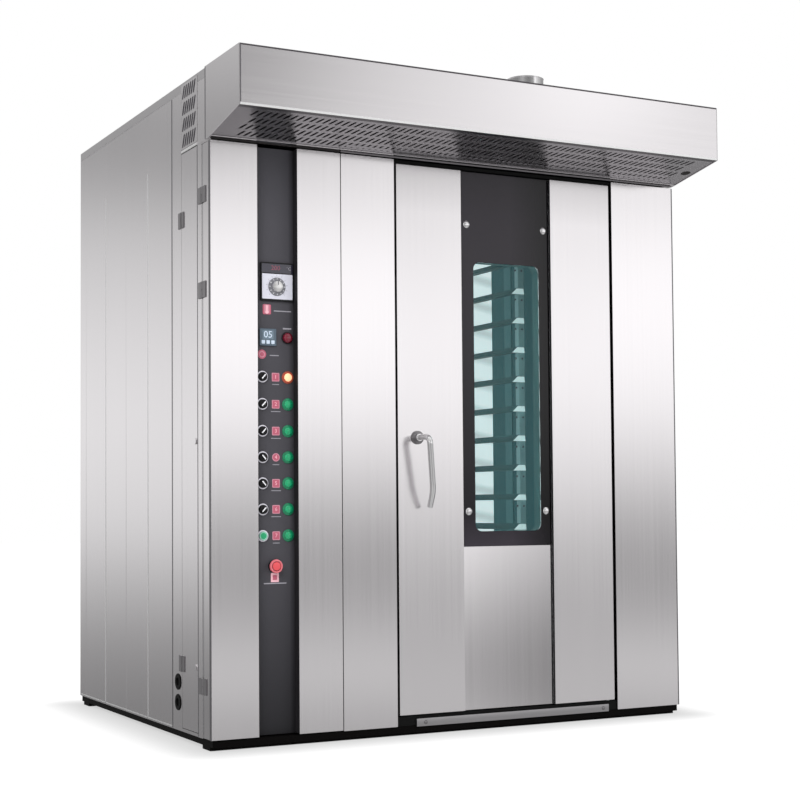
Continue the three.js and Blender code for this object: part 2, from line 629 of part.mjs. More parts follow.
/** Vertical drive shaft with a disc and a hook that lifts the rack by its top bar. */
function driveHook() {
  const disc = rod(55, 8, 'z', [0, 0, SHAFT.bottom - 8], ROUND);
  const shaft = rod(SHAFT.diameter / 2, SHAFT.top - SHAFT.bottom + 2, 'z', [0, 0, SHAFT.bottom - 2], ROUND);
  const bar = RACK.tube / 2;
  const wall = 12;
  const under = RACK.top - 1.5;
  const hook = extrude(polygon([
    [-bar - 2 - wall, RACK.top + 10], [-bar - 2 - wall, under - wall], [bar + 2 + wall, under - wall],
    [bar + 2 + wall, SHAFT.bottom - 6], [-bar, SHAFT.bottom - 6], [-bar, RACK.topTop + 6],
    [bar + 2, RACK.topTop + 6], [bar + 2, under], [-bar - 2, under], [-bar - 2, RACK.top + 10],
  ]), 'x', -7, 7);
  return joined(disc, shaft, hook);
}

// ---------------------------------------------------------------------- door

/** Insulated body of the door: stepped to hold skins and glass, with a window, pivots and a spindle bore. */
function doorCore() {
  const skinned = SHEET + GAP;
  const [left, right] = [DOOR.left + skinned, DOOR.right - skinned];
  const [stepLeft, stepRight] = [DOOR.recessLeft - skinned, DOOR.recessRight + skinned];
  const seat = DOOR.recess + WINDOW.glass + GAP;
  const body = extrude(polygon([
    [left, skinned], [stepLeft, skinned], [stepLeft, seat], [stepRight, seat], [stepRight, skinned],
    [right, skinned], [right, DOOR.depth], [left, DOOR.depth],
  ]), 'z', DOOR.bottom, DOOR.top);
  const margin = 5;
  const window = extrude(roundedRectangle(WINDOW.left - margin, WINDOW.right + margin,
    WINDOW.bottom - margin, WINDOW.top + margin, WINDOW.radius), 'y', 0, DOOR.depth + 1, 3);
  const spindleBore = rod(HANDLE.bore / 2, DOOR.depth + 2, 'y', [HANDLE.t, -1, HANDLE.z]);
  const pins = [DOOR.bottom - PIVOT.length, DOOR.top - 1].map((z) =>
    rod(PIVOT.radius, PIVOT.length + 1, 'z', [DOOR.axisT, DOOR.axisS, z]));
  return cut(joined(body, ...pins), window, spindleBore);
}

/** Stainless skin on the handle side, folded round the door's edge. */
function doorSkinLeft() {
  const skin = extrude(folded([
    [DOOR.left, DOOR.depth], [DOOR.left, 0], [DOOR.recessLeft, 0], [DOOR.recessLeft, DOOR.recess - GAP],
  ]), 'z', DOOR.bottom, DOOR.top);
  return cut(skin, rod(HANDLE.bore / 2, 2 * SHEET, 'y', [HANDLE.t, -SHEET / 2, HANDLE.z]));
}

const doorSkinRight = () => extrude(folded([
  [DOOR.recessRight, DOOR.recess - GAP], [DOOR.recessRight, 0], [DOOR.right, 0], [DOOR.right, DOOR.depth],
]), 'z', DOOR.bottom, DOOR.top);

/** Stainless panel under the glass, folded back along its top and bottom. */
function doorKickPanel() {
  const back = DOOR.recess + WINDOW.glass;
  const top = WINDOW.frameBottom - GAP;
  return extrude(folded([
    [back, top], [DOOR.recess, top], [DOOR.recess, DOOR.bottom], [back, DOOR.bottom],
  ]), 'x', DOOR.recessLeft + GAP, DOOR.recessRight - GAP);
}

const windowPanel = () => box(DOOR.recessLeft + GAP, DOOR.recessRight - GAP,
  DOOR.recess, DOOR.recess + WINDOW.glass, WINDOW.frameBottom, DOOR.top);

/** Inner pane, set into the core's window. */
function innerGlass() {
  const margin = 4.5;
  return extrude(roundedRectangle(WINDOW.left - margin, WINDOW.right + margin,
    WINDOW.bottom - margin, WINDOW.top + margin, WINDOW.radius), 'y', DOOR.depth - 8, DOOR.depth - 2, 3);
}

/** Silicone seal round the doorway, on the back of the door. */
function doorGasket() {
  const [inner, outer] = [6, 22];
  const seal = roundedRectangle(OPENING.left - outer, OPENING.right + outer,
    OPENING.bottom - 17, OPENING.top + outer, 20);
  seal.holes.push(roundedRectangle(OPENING.left - inner, OPENING.right + inner,
    OPENING.bottom - inner, OPENING.top + inner, 12));
  return extrude(seal, 'y', DOOR.depth + GAP, SURROUND.front - GAP, 2);
}

/** Round rose that the handle turns in. */
const handleRose = () => turned([
  [HANDLE.bore / 2, 0], [25, 0], [25, -5], [21, -8], [HANDLE.bore / 2, -8], [HANDLE.bore / 2, 0],
], 'y', [HANDLE.t, -GAP, HANDLE.z]);

/** Bent tube handle with its spindle through the door and the latch tongue on the spindle's end. */
function doorHandle() {
  const radius = HANDLE.tube / 2;
  const out = -(HANDLE.reach - radius);
  const bottom = -HANDLE.drop;
  const path = roundedPath([
    [0, -9, 0], [0, out, 0], [HANDLE.lean, out + 15, bottom], [HANDLE.lean + 4, out + 47, bottom - 55],
  ], 24);
  const lever = bentBar(path, HANDLE.tube, 24, 10);
  const spindle = rod(6, LATCH.back + 11, 'y', [0, -11, 0]);
  const tongue = box(-LATCH.width / 2, LATCH.width / 2, LATCH.front, LATCH.back, -10, LATCH.length);
  return joined(lever, spindle, tongue);
}

// -------------------------------------------------------------- control door

/** Control door: one folded pan with a recess for the fascia, closed ends and its hinge halves. */
function controlDoor() {
  const { right, depth } = CONTROL_DOOR;
  const floor = FASCIA.front + FASCIA.plate + GAP;
  const neck = { inset: 7, front: 6, back: 13 };
  const front = [
    [0, neck.back], [neck.inset, neck.back], [neck.inset, neck.front], [0, neck.front], [0, 0],
    [FASCIA.left, 0], [FASCIA.left, floor], [FASCIA.right, floor], [FASCIA.right, 0], [right, 0],
  ];
  const bottom = BASE_TOP + 3;
  const outline = (back) => [[0, back], ...front, [right, back]];
  const pan = extrude(folded(outline(depth)), 'z', bottom, PANEL_TOP);
  const cap = polygon(offsetPath(outline(depth - 1), SHEET / 2));
  const ends = [bottom + 1, PANEL_TOP - SHEET - 1].map((z) => extrude(cap, 'z', z, z + SHEET));
  const halves = CONTROL_HINGES.flatMap((z) =>
    hingeHalf(0, CONTROL_DOOR.axisS, depth - HINGE.leafWidth, HINGE.radius, z + GAP));
  return joined(pan, ...ends, ...halves);
}

/** A fitting on the fascia: a solid of revolution that stands out to the front. */
const onFascia = (profile, t, z, facets = SMALL_ROUND) =>
  turned(profile.map(([radius, out]) => [radius, -out]), 'y', [t, FASCIA.front, z], facets);

const dome = (radius, collar, height) => [
  [0, -1], [radius + 1, -1], [radius + 1, collar],
  [radius * 0.75, collar + height * 0.75], [0, collar + height],
];

/** The fixed collar behind a knob or button. */
const collar = (radius) => [[0, -1], [radius, -1], [radius, COLLAR_HEIGHT], [0, COLLAR_HEIGHT]];

/** Fascia plate with its fixed fittings: lamps, alarm, timer and the selectors' collars. */
function controlFascia() {
  const plate = box(FASCIA.left + GAP, FASCIA.right - GAP, FASCIA.front, FASCIA.front + FASCIA.plate,
    BASE_TOP + 3 + GAP, PANEL_TOP - GAP);
  const rows = [...SELECTOR_ROWS, BUTTON_ROW];
  const lamps = rows.map((z) => onFascia(dome(16, 3, 7), CONTROL_COLUMNS.right, z));
  const collars = rows.map((z) =>
    onFascia(collar(18), CONTROL_COLUMNS.left, z));
  const alarm = onFascia(dome(ALARM.radius, 4, ALARM.height), ALARM.t, ALARM.z, ROUND);
  const timer = box(TIMER.t - TIMER.width / 2, TIMER.t + TIMER.width / 2,
    FASCIA.front - TIMER.depth, FASCIA.front + 1, TIMER.z - TIMER.height / 2, TIMER.z + TIMER.height / 2);
  const stopCollar = onFascia(collar(20), STOP.t, STOP.z, ROUND);
  return joined(plate, ...lamps, ...collars, alarm, timer, stopCollar);
}

/** Temperature controller: a framed plate on the fascia. */
function tempController() {
  const { t, width, depth, bottom, top } = CONTROLLER;
  const [left, right] = [t - width / 2, t + width / 2];
  const face = extrude(roundedRectangle(left, right, bottom, top, 4), 'y',
    FASCIA.front - GAP - depth, FASCIA.front - GAP, 2);
  const display = box(left + 8, right - 8, FASCIA.front - depth - 3, FASCIA.front - depth, top - 36, top - 6);
  return cut(face, display);
}

/** Dial of the temperature controller: a dome on a skirt, with a pointer rib. */
function tempDial() {
  const skirt = turned([[0, 0], [30, 0], [30, -3], [20, -4], [18.5, -10], [12, -13], [0, -14]], 'y');
  const pointer = box(-1.5, 1.5, -15, -5, 4, 17);
  return joined(skirt, pointer);
}

/** Rotary selector: a round knob with a grip bar across it. */
function selector() {
  const knob = turned([[0, 0], [14.5, 0], [14.5, -8], [13.5, -9], [0, -9]], 'y', [0, 0, 0], 16);
  const grip = box(-3, 3, -13, -8, -12, 12);
  return joined(knob, grip);
}

const roundButton = (radius, height) =>
  turned([[0, 0], [radius, 0], [radius, -height + 2], [radius - 2, -height], [0, -height]], 'y');

/** Emergency stop: a mushroom head on its neck. */
const emergencyStop = () => turned([
  [0, 0], [14, 0], [14, -6], [STOP.radius, -8], [STOP.radius, -13], [STOP.radius * 0.8, -17],
  [0, -18],
], 'y');

/** Narrow service door on the left side: a pan with its hinge halves and two lock heads. */
function serviceDoor() {
  const { front, back, bottom, depth } = SERVICE;
  const top = SERVICE.top - 2;
  const pan = extrude(folded([[depth, back], [0, back], [0, front], [depth, front]]), 'z', bottom, top);
  const ends = [bottom + 1, top - SHEET - 1].map((z) => box(1, depth - 1, front + 1, back - 1, z, z + SHEET));
  const halves = SERVICE_HINGES.flatMap((z) =>
    hingeHalf(-SERVICE.axisOut, SERVICE.axisS, SERVICE.axisS - HINGE.leafWidth, SERVICE.axisOut, z + GAP));
  const locks = SERVICE_LOCKS.map((z) => rod(10, 5, 'x', [-4, front + 14, z]));
  return joined(pan, ...ends, ...halves, ...locks);
}

const PLATE = { left: MID_POST.depth + 4, right: SURROUND.left - GAP, front: 345, thickness: 3, margin: 24 };

/** A device on the mounting plate, by its width, height and how far it stands out. */
const device = (t, z, width, height, reach) =>
  box(t - width / 2, t + width / 2, PLATE.front - reach, PLATE.front + 1, z - height / 2, z + height / 2);

/** Mounting plate behind the control door, with contactors, breakers and a drive on rails. */
function electricalPlate() {
  const { left, right, front, thickness, margin } = PLATE;
  const plate = box(left, right, front, front + thickness, STAND, CHAMBER.ceilingTop);
  const middle = (left + right) / 2;
  const rails = [
    { z: 1500, count: 5, width: 60, height: 85 },
    { z: 1250, count: 4, width: 74, height: 90 },
    { z: 1000, count: 5, width: 54, height: 70 },
  ];
  const devices = rails.flatMap(({ z, count, width, height }) => {
    const pitch = (right - left - 2 * margin) / count;
    const row = Array.from({ length: count }, (_, i) =>
      device(left + margin + (i + 0.5) * pitch, z, width, height, 68));
    return [device(middle, z, right - left - 2 * margin, 36, 8), ...row];
  });
  return joined(plate, ...devices, device(left + 175, 695, 170, 270, 130));
}

// ------------------------------------------------------------------ assembly

add('base_frame', baseFrame(), MATERIAL.blackPaint);
add('threshold_bar', thresholdBar(), MATERIAL.stainless);
add('left_front_post', leftFrontPost(), MATERIAL.stainless);
add('left_mid_post', leftMidPost(), MATERIAL.stainless);
add('left_cladding', leftCladding(), MATERIAL.stainless);
add('right_cladding', rightCladding(), MATERIAL.stainless);
add('rear_cladding', rearCladding(), MATERIAL.stainless);
add('roof_panel', roofPanel(), MATERIAL.stainless);
add('louver_panel', louverPanel(), MATERIAL.stainless);
add('front_panel_left', frontPanelLeft(), MATERIAL.stainless);
add('front_panel_right', frontPanelRight(), MATERIAL.stainless);
add('door_surround', doorSurround(), MATERIAL.blackPaint);
add('hood_shell', hoodShell(), MATERIAL.stainless);
add('hood_end_left', hoodEnd(-HOOD_PROUD), MATERIAL.stainless);
add('hood_end_right', hoodEnd(WIDTH + HOOD_PROUD - SHEET), MATERIAL.stainless);
add('hood_grille', hoodGrille(), MATERIAL.stainless);
add('exhaust_collar', exhaustCollar(), MATERIAL.stainless);

add('chamber_floor', chamberFloor(), MATERIAL.stainless);
add('chamber_ceiling', chamberCeiling(), MATERIAL.stainless);
add('chamber_left_wall', sideWall(INSULATED.left, CHAMBER.left), MATERIAL.stainless);
add('chamber_right_wall', sideWall(CHAMBER.right, INSULATED.right), MATERIAL.stainless);
add('chamber_rear_wall', chamberRearWall(), MATERIAL.stainless);
add('heater_bank', heaterBank(), MATERIAL.galvanised);
add('rack_gearmotor', rackGearmotor(), MATERIAL.motorGrey);
add('fan_motor', fanMotor(), MATERIAL.motorGrey);
add('fan_wheel', fanWheel(), MATERIAL.galvanised, [FAN.t, FAN.s, FAN.bottom]);

const onRack = [RACK.t, RACK.s, 0];
add('drive_hook', driveHook(), MATERIAL.galvanised, onRack);
add('rack_left_ladder', rackLadder(-1), MATERIAL.stainless, onRack);
add('rack_right_ladder', rackLadder(1), MATERIAL.stainless, onRack);
add('rack_top_frame', rackFrame(RACK.top, RACK.topTop), MATERIAL.stainless, onRack);
add('rack_base_frame', rackBase(), MATERIAL.stainless, onRack);
for (const [side, i] of [['left', -1], ['right', 1]]) {
  const t = RACK.t + i * CASTER.t;
  add(`caster_fork_${side}`, swivelFork(), MATERIAL.galvanised, [t, RACK.s - CASTER.s, 0]);
  add(`caster_wheel_front_${side}`, casterWheel(), MATERIAL.blackPlastic,
    [t, RACK.s - CASTER.s + CASTER.trail, CASTER.z]);
  add(`caster_wheel_rear_${side}`, casterWheel(), MATERIAL.blackPlastic, [t, RACK.s + CASTER.s, CASTER.z]);
}

add('door_core', doorCore(), MATERIAL.stainless);
add('door_skin_left', doorSkinLeft(), MATERIAL.stainless);
add('door_skin_right', doorSkinRight(), MATERIAL.stainless);
add('door_kick_panel', doorKickPanel(), MATERIAL.stainless);
add('window_panel', windowPanel(), MATERIAL.blackGlass);
add('inner_glass', innerGlass(), MATERIAL.clearGlass);
add('door_gasket', doorGasket(), MATERIAL.silicone);
add('handle_rose', handleRose(), MATERIAL.polished);
add('door_handle', doorHandle(), MATERIAL.polished, [HANDLE.t, 0, HANDLE.z]);

add('control_door', controlDoor(), MATERIAL.stainless);
add('control_fascia', controlFascia(), MATERIAL.fascia);
add('temp_controller', tempController(), MATERIAL.whitePlastic);
add('temp_dial', tempDial(), MATERIAL.blackPlastic,
  [CONTROLLER.dialT, FASCIA.front - CONTROLLER.depth - 2 * GAP, CONTROLLER.dialZ]);
const beforeCollar = FASCIA.front - COLLAR_HEIGHT - GAP;
SELECTOR_ROWS.forEach((z, i) => {
  const at = [CONTROL_COLUMNS.left, beforeCollar, z];
  const knob = add(`selector_${i + 1}`, selector(), MATERIAL.blackPlastic, at);
  knob.rotation.y = POINTS_LEFT.includes(i) ? -SELECTOR_TURN : SELECTOR_TURN;
});
add('push_button', roundButton(14, 9), MATERIAL.green,
  [CONTROL_COLUMNS.left, beforeCollar - BUTTON_TRAVEL, BUTTON_ROW]);
add('emergency_stop', emergencyStop(), MATERIAL.red, [STOP.t, beforeCollar - BUTTON_TRAVEL, STOP.z]);
add('service_door', serviceDoor(), MATERIAL.stainless);
add('electrical_plate', electricalPlate(), MATERIAL.galvanised);

export default group;
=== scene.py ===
"""Rotating rack oven: finishes and fine sheet-metal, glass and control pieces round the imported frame.

Sizes are millimetres in the cabinet's own coordinates: t runs right from the cabinet's left edge, s runs
back from its front plane and z runs up from the floor.  Meshes are written in metres in the frame.
"""

from __future__ import annotations

import json
import logging
import math
from dataclasses import dataclass
from enum import Enum

import bmesh
import bpy
import numpy as np
from mathutils import Matrix, Vector

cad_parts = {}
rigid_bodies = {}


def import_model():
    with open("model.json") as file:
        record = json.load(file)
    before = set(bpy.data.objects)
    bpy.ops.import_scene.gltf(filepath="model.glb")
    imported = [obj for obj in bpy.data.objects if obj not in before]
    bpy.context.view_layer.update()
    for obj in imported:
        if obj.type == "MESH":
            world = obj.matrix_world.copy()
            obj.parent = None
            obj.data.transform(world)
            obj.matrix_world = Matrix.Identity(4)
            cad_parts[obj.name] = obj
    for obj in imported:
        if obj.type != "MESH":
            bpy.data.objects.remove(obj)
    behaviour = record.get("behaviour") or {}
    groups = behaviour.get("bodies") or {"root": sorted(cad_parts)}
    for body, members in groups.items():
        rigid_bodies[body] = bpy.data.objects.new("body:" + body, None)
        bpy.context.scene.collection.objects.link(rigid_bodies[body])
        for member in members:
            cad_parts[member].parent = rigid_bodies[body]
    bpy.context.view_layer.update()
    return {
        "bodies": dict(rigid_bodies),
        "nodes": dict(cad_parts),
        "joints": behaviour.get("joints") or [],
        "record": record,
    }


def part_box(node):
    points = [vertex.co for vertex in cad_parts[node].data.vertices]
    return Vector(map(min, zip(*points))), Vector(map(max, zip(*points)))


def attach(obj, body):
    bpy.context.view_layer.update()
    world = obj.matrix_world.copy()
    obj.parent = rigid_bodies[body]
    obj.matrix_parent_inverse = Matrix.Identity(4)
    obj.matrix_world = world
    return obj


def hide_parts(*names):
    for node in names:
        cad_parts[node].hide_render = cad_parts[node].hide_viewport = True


Pair = tuple[float, float]
Triple = tuple[float, float, float]
Socket = bpy.types.NodeSocket

LOG = logging.getLogger("rack_oven")
MM = 0.001
# The cabinet's front left foot in the frame, in millimetres, for painted light and shade that changes across
# the cabinet.
CORNER = (-918.0, -596.0, 0.0)
CONTROL_HINGES = (201.0, 1479.0, 1789.0)
SERVICE_HINGES = (258.0, 1737.0)
HINGE_HALF = 26.5
# Edges sharper than this many degrees stay sharp on a smooth piece.
CREASE = 32.0
# A copied node's points nearer than this, in metres, are one; its faces flatter than this, in degrees, join.
MERGE_DISTANCE = 2e-6
FLAT_ANGLE = 0.4
# Size of the font as a share of the figures' height, and how far the figures stand out, in millimetres.
TYPE_SCALE = 1.35
TYPE_DEPTH = 0.3


# Surfaces


class Axis(Enum):
    """The direction that a section is carried along; the section lies in the other two, in order."""

    T = 0
    S = 1
    Z = 2

    def place(self, flat: np.ndarray, along: np.ndarray) -> np.ndarray:
        """Section points, shape (..., 2), at a distance along the axis: points (t, s, z), shape (..., 3)."""
        along = np.broadcast_to(np.asarray(along, float), flat.shape[:-1])
        return np.insert(flat, self.value, along, axis=-1)


@dataclass
class Skin:
    """A closed surface: points in cabinet millimetres, quads, triangles and flat faces of any size."""

    points: np.ndarray
    quads: np.ndarray
    triangles: np.ndarray
    flats: list[np.ndarray]

    def faces(self) -> list[list[int]]:
        """All faces as lists of point numbers."""
        return [*self.quads.tolist(), *self.triangles.tolist(), *(f.tolist() for f in self.flats)]

    def moved(self, t: float = 0.0, s: float = 0.0, z: float = 0.0) -> Skin:
        """The same skin moved by a distance along each axis."""
        return Skin(self.points + np.array([t, s, z]), self.quads, self.triangles, self.flats)

    def turned(self, centre: Triple, axis: Axis, degrees: float) -> Skin:
        """Turns the skin about an axis through a centre.

        Args:
            centre: a point on the axis.
            axis: the axis's direction.
            degrees: the right-handed angle.

        Returns:
            The turned skin.
        """
        turn = np.array(Matrix.Rotation(math.radians(degrees), 3, "XYZ"[axis.value]))
        middle = np.array(centre, float)
        return Skin((self.points - middle) @ turn.T + middle, self.quads, self.triangles, self.flats)


def skin_from(points: np.ndarray, quads: np.ndarray, flats: list[np.ndarray]) -> Skin:
    """Merges equal points, turns quads that lose a side into triangles and points the faces outwards.

    Args:
        points: all points, shape (n, 3), repeats allowed.
        quads: point numbers, shape (m, 4).
        flats: flat faces as arrays of point numbers.

    Returns:
        The closed skin.
    """
    unique, renumber = np.unique(np.round(points, 4), axis=0, return_inverse=True)
    renumber = renumber.reshape(-1)
    quads = renumber[quads].reshape(-1, 4)
    triangles = []
    for side in range(4):
        lost = quads[:, side] == quads[:, (side + 1) % 4]
        triangles.append(np.delete(quads[lost], side, axis=1))
        quads = quads[~lost]
    triangles = np.concatenate(triangles)
    whole = np.ones(len(triangles), bool)
    for side in range(3):
        whole &= triangles[:, side] != triangles[:, (side + 1) % 3]
    skin = Skin(unique, quads, triangles[whole], [renumber[f] for f in flats])
    if volume_of(skin) < 0:
        skin = Skin(unique, quads[:, ::-1], skin.triangles[:, ::-1], [f[::-1] for f in skin.flats])
    return skin


def unit(vectors: np.ndarray) -> np.ndarray:
    """Vectors scaled to a length of 1, row by row."""
    return vectors / np.linalg.norm(vectors, axis=1, keepdims=True)


def volume_of(skin: Skin) -> float:
    """Six times the volume inside a skin: the sum of the determinants of every face's fan of triangles.

    Args:
        skin: a closed skin.

    Returns:
        The sum, which is below 0 if the faces point inwards.
    """
    p = skin.points
    fans = [skin.quads[:, [0, 1, 2]], skin.quads[:, [0, 2, 3]], skin.triangles]
    for flat in skin.flats:
        first = np.full(len(flat) - 2, flat[0])
        fans.append(np.stack([first, flat[1:-1], flat[2:]], axis=1))
    fan = np.concatenate(fans)
    return float(np.einsum("ij,ij->i", p[fan[:, 0]], np.cross(p[fan[:, 1]], p[fan[:, 2]])).sum())


def loft(rings: np.ndarray, loop: bool = False) -> Skin:
    """Joins closed rings one after another; the first and last are capped unless the rings form a loop.

    Args:
        rings: points, shape (rings, points in a ring, 3).
        loop: joins the last ring to the first, as in a torus.

    Returns:
        A closed skin.
    """
    count, size, _ = rings.shape
    index = np.arange(count * size).reshape(count, size)
    near = index if loop else index[:-1]
    far = np.roll(index, -1, axis=0) if loop else index[1:]
    quads = np.stack([near, np.roll(near, -1, axis=1), np.roll(far, -1, axis=1), far], axis=-1)
    caps = [] if loop else [index[0][::-1], index[-1]]
    radius = np.ptp(rings, axis=1).max(axis=1)
    caps = [cap for cap, wide in zip(caps, (radius[0], radius[-1])) if wide > 1e-3]
    return skin_from(rings.reshape(-1, 3), quads.reshape(-1, 4), caps)


def rounded(centre: Pair, width: float, height: float, radius: float, steps: int = 6) -> np.ndarray:
    """A rectangle whose corners are quarter circles.

    Args:
        centre: middle of the rectangle.
        width: full width.
        height: full height.
        radius: corner radius.
        steps: segments in each quarter circle.

    Returns:
        The outline, anticlockwise, shape (4 * (steps + 1), 2).
    """
    angle = np.linspace(0, np.pi / 2, steps + 1) + np.arange(4)[:, None] * np.pi / 2
    corner = np.array([[1, 1], [-1, 1], [-1, -1], [1, -1]])[:, None]
    reach = np.array([width / 2 - radius, height / 2 - radius])
    arc = radius * np.stack([np.cos(angle), np.sin(angle)], axis=-1)
    return (np.array(centre) + corner * reach + arc).reshape(-1, 2)


def circle(centre: Pair, radius: float, sides: int = 40) -> np.ndarray:
    """A circle as an anticlockwise outline of shape (sides, 2)."""
    angle = np.linspace(0, 2 * np.pi, sides, endpoint=False)
    return np.array(centre) + radius * np.stack([np.cos(angle), np.sin(angle)], axis=-1)


def offset(outline: np.ndarray, distance: float) -> np.ndarray:
    """Moves a closed outline to its left, which is inwards, with mitred corners.

    Each point moves along l + b, the left normals of the edges that meet there, by distance / (1 + l . b).

    Args:
        outline: points, shape (n, 2).
        distance: how far, negative for outwards.

    Returns:
        The moved outline, same shape.
    """
    ahead = unit(np.roll(outline, -1, axis=0) - outline)
    behind = np.roll(ahead, 1, axis=0)
    left = np.stack([-ahead[:, 1], ahead[:, 0]], axis=1)
    before = np.stack([-behind[:, 1], behind[:, 0]], axis=1)
    mitre = distance / (1 + (left * before).sum(axis=1, keepdims=True))
    return outline + (left + before) * mitre


def rounded_path(corners: list[tuple[float, ...]], radius: float, steps: int = 6) -> np.ndarray:
    """A polyline whose inner corners are quadratic arcs that start a radius before the corner.

    An arc from a to b round a corner c is (1 - u)^2 a + 2 u (1 - u) c + u^2 b for u from 0 to 1.

    Args:
        corners: the polyline, in two or three dimensions.
        radius: how far from the corner an arc starts and ends.
        steps: segments in each arc.

    Returns:
        Points along the path.
    """
    p = np.array(corners, float)
    inner = p[1:-1]
    start, end = inner + radius * unit(p[:-2] - inner), inner + radius * unit(p[2:] - inner)
    u = np.linspace(0, 1, steps + 1)[:, None, None]
    arcs = (1 - u) ** 2 * start + 2 * u * (1 - u) * inner + u**2 * end
    return np.concatenate([p[:1], arcs.transpose(1, 0, 2).reshape(-1, p.shape[1]), p[-1:]])


def wall(outline: np.ndarray, axis: Axis, start: float, end: float, edge: float,
         steps: int = 3) -> list[np.ndarray]:
    """Rings of a wall between two levels, each rim a quarter round.

    At the angle a of a rim the inset is edge * (1 - sin a) and the rise edge * (1 - cos a).

    Args:
        outline: anticlockwise section, shape (n, 2).
        axis: the direction from level to level.
        start: level of the first rim.
        end: level of the last rim; below the start for an opening, whose rims flare outwards.
        edge: radius of the rims.
        steps: segments in a rim's quarter round.

    Returns:
        The rings in order.
    """
    way = 1.0 if end > start else -1.0
    angle = np.linspace(0, np.pi / 2, steps + 1)
    inset, rise = way * edge * (1 - np.sin(angle)), way * edge * (1 - np.cos(angle))
    rings = [axis.place(offset(outline, i), start + r) for i, r in zip(inset, rise)]
    return rings + [axis.place(offset(outline, i), end - r) for i, r in zip(inset[::-1], rise[::-1])]


def prism(outline: np.ndarray, axis: Axis, low: float, high: float, edge: float = 0.0,
          steps: int = 3) -> Skin:
    """Carries an outline along an axis; the rims are quarter rounds of radius `edge`.

    Args:
        outline: anticlockwise section, shape (n, 2).
        axis: direction of carrying.
        low: start along the axis.
        high: end along the axis.
        edge: radius of the rims, 0 for square ends.
        steps: segments in a rim's quarter round.

    Returns:
        A closed skin.
    """
    if edge <= 0:
        return loft(np.stack([axis.place(outline, low), axis.place(outline, high)]))
    return loft(np.stack(wall(outline, axis, low, high, edge, steps)))


def slab(t: Pair, s: Pair, z: Pair, edge: float = 0.6) -> Skin:
    """A block between two values on each axis, with its four long edges and both rims rounded.

    Args:
        t: its two sides.
        s: its front and back.
        z: its foot and top.
        edge: the rounding, which a thin block cuts down.

    Returns:
        A closed skin.
    """
    sizes = [t, s, z]
    axis = Axis(int(np.argmin([abs(hi - lo) for lo, hi in sizes])))
    (u0, u1), (v0, v1) = [sizes[i] for i in range(3) if i != axis.value]
    middle = ((u0 + u1) / 2, (v0 + v1) / 2)
    edge = min(edge, abs(sizes[axis.value][1] - sizes[axis.value][0]) / 2.2)
    outline = rounded(middle, abs(u1 - u0), abs(v1 - v0), edge * 1.2, 3)
    return prism(outline, axis, *sorted(sizes[axis.value]), edge=edge, steps=2)


def framed(outer: np.ndarray, inner: np.ndarray, axis: Axis, low: float, high: float,
           edge: float = 0.5) -> Skin:
    """A plate with an opening whose outline has as many points as its own; all four rims are rounded."""
    return loft(np.stack(wall(outer, axis, low, high, edge) + wall(inner, axis, high, low, edge)), loop=True)


def turned(profile: list[Pair], axis: Axis, centre: Triple, sides: int = 48) -> Skin:
    """A solid of revolution from a profile of (radius, distance along the axis), which starts on the axis.

    A profile that starts away from the axis closes on itself and makes a ring.

    Args:
        profile: the profile.
        axis: the axis of revolution.
        centre: the profile's origin.
        sides: points round each ring.

    Returns:
        A closed skin.
    """
    rings = [axis.place(circle((0, 0), radius, sides), along) for radius, along in profile]
    return loft(np.stack(rings) + np.array(centre), loop=profile[0][0] > 0)


def tube(path: np.ndarray, radius: float, across: Triple, sides: int = 32, dome: float = 0.5) -> Skin:
    """A round bar along a path, with domed ends.

    Each ring lies in the plane of n = across made square to the tangent, and b = tangent x n.

    Args:
        path: centre line, shape (n, 3).
        radius: the bar's radius.
        across: a direction that is never along the path.
        sides: points round the bar.
        dome: length of each domed end as a share of the radius.

    Returns:
        A closed skin.
    """
    ahead = unit(np.gradient(path, axis=0))
    normal = unit(np.array(across, float) - (ahead @ np.array(across, float))[:, None] * ahead)
    binormal = np.cross(ahead, normal)
    angle = np.linspace(0, 2 * np.pi, sides, endpoint=False)[:, None]

    def ring(i: int, size: float) -> np.ndarray:
        """A ring of a size about point i of the path."""
        return path[i] + size * (np.cos(angle) * normal[i] + np.sin(angle) * binormal[i])

    rise = np.linspace(0, np.pi / 2, 5)[:-1]
    first = [ring(0, radius * np.sin(a)) - ahead[0] * radius * dome * (np.cos(a) - 1) for a in rise]
    last = [ring(-1, radius * np.sin(a)) + ahead[-1] * radius * dome * (np.cos(a) - 1) for a in rise[::-1]]
    body = [ring(i, radius) for i in range(1, len(path) - 1)]
    return loft(np.stack([*first, *body, *last]))


@dataclass(frozen=True)
class Cell:
    """One field of a punched sheet, in the sheet's own (u, v), with its slot or none."""

    field: tuple[float, float, float, float]
    slot: tuple[float, float, float, float] | None = None


def slot_row(edges: np.ndarray, ends: Pair, field: Pair, width: float,
             slot: Pair) -> list[Cell]:
    """One row of a punched sheet: a slot between each two edges, and a plain field at each end.

    Args:
        edges: where one slotted field ends and the next begins, along u.
        ends: the sheet's two ends, along u.
        field: lowest and highest v of the row.
        width: width of a slot.
        slot: lowest and highest v of a slot.

    Returns:
        The row's cells.
    """
    cells = [Cell((a, b, *field), ((a + b - width) / 2, (a + b + width) / 2, *slot))
             for a, b in zip(edges[:-1], edges[1:])]
    return cells + [Cell((ends[0], edges[0], *field)), Cell((edges[-1], ends[1], *field))]


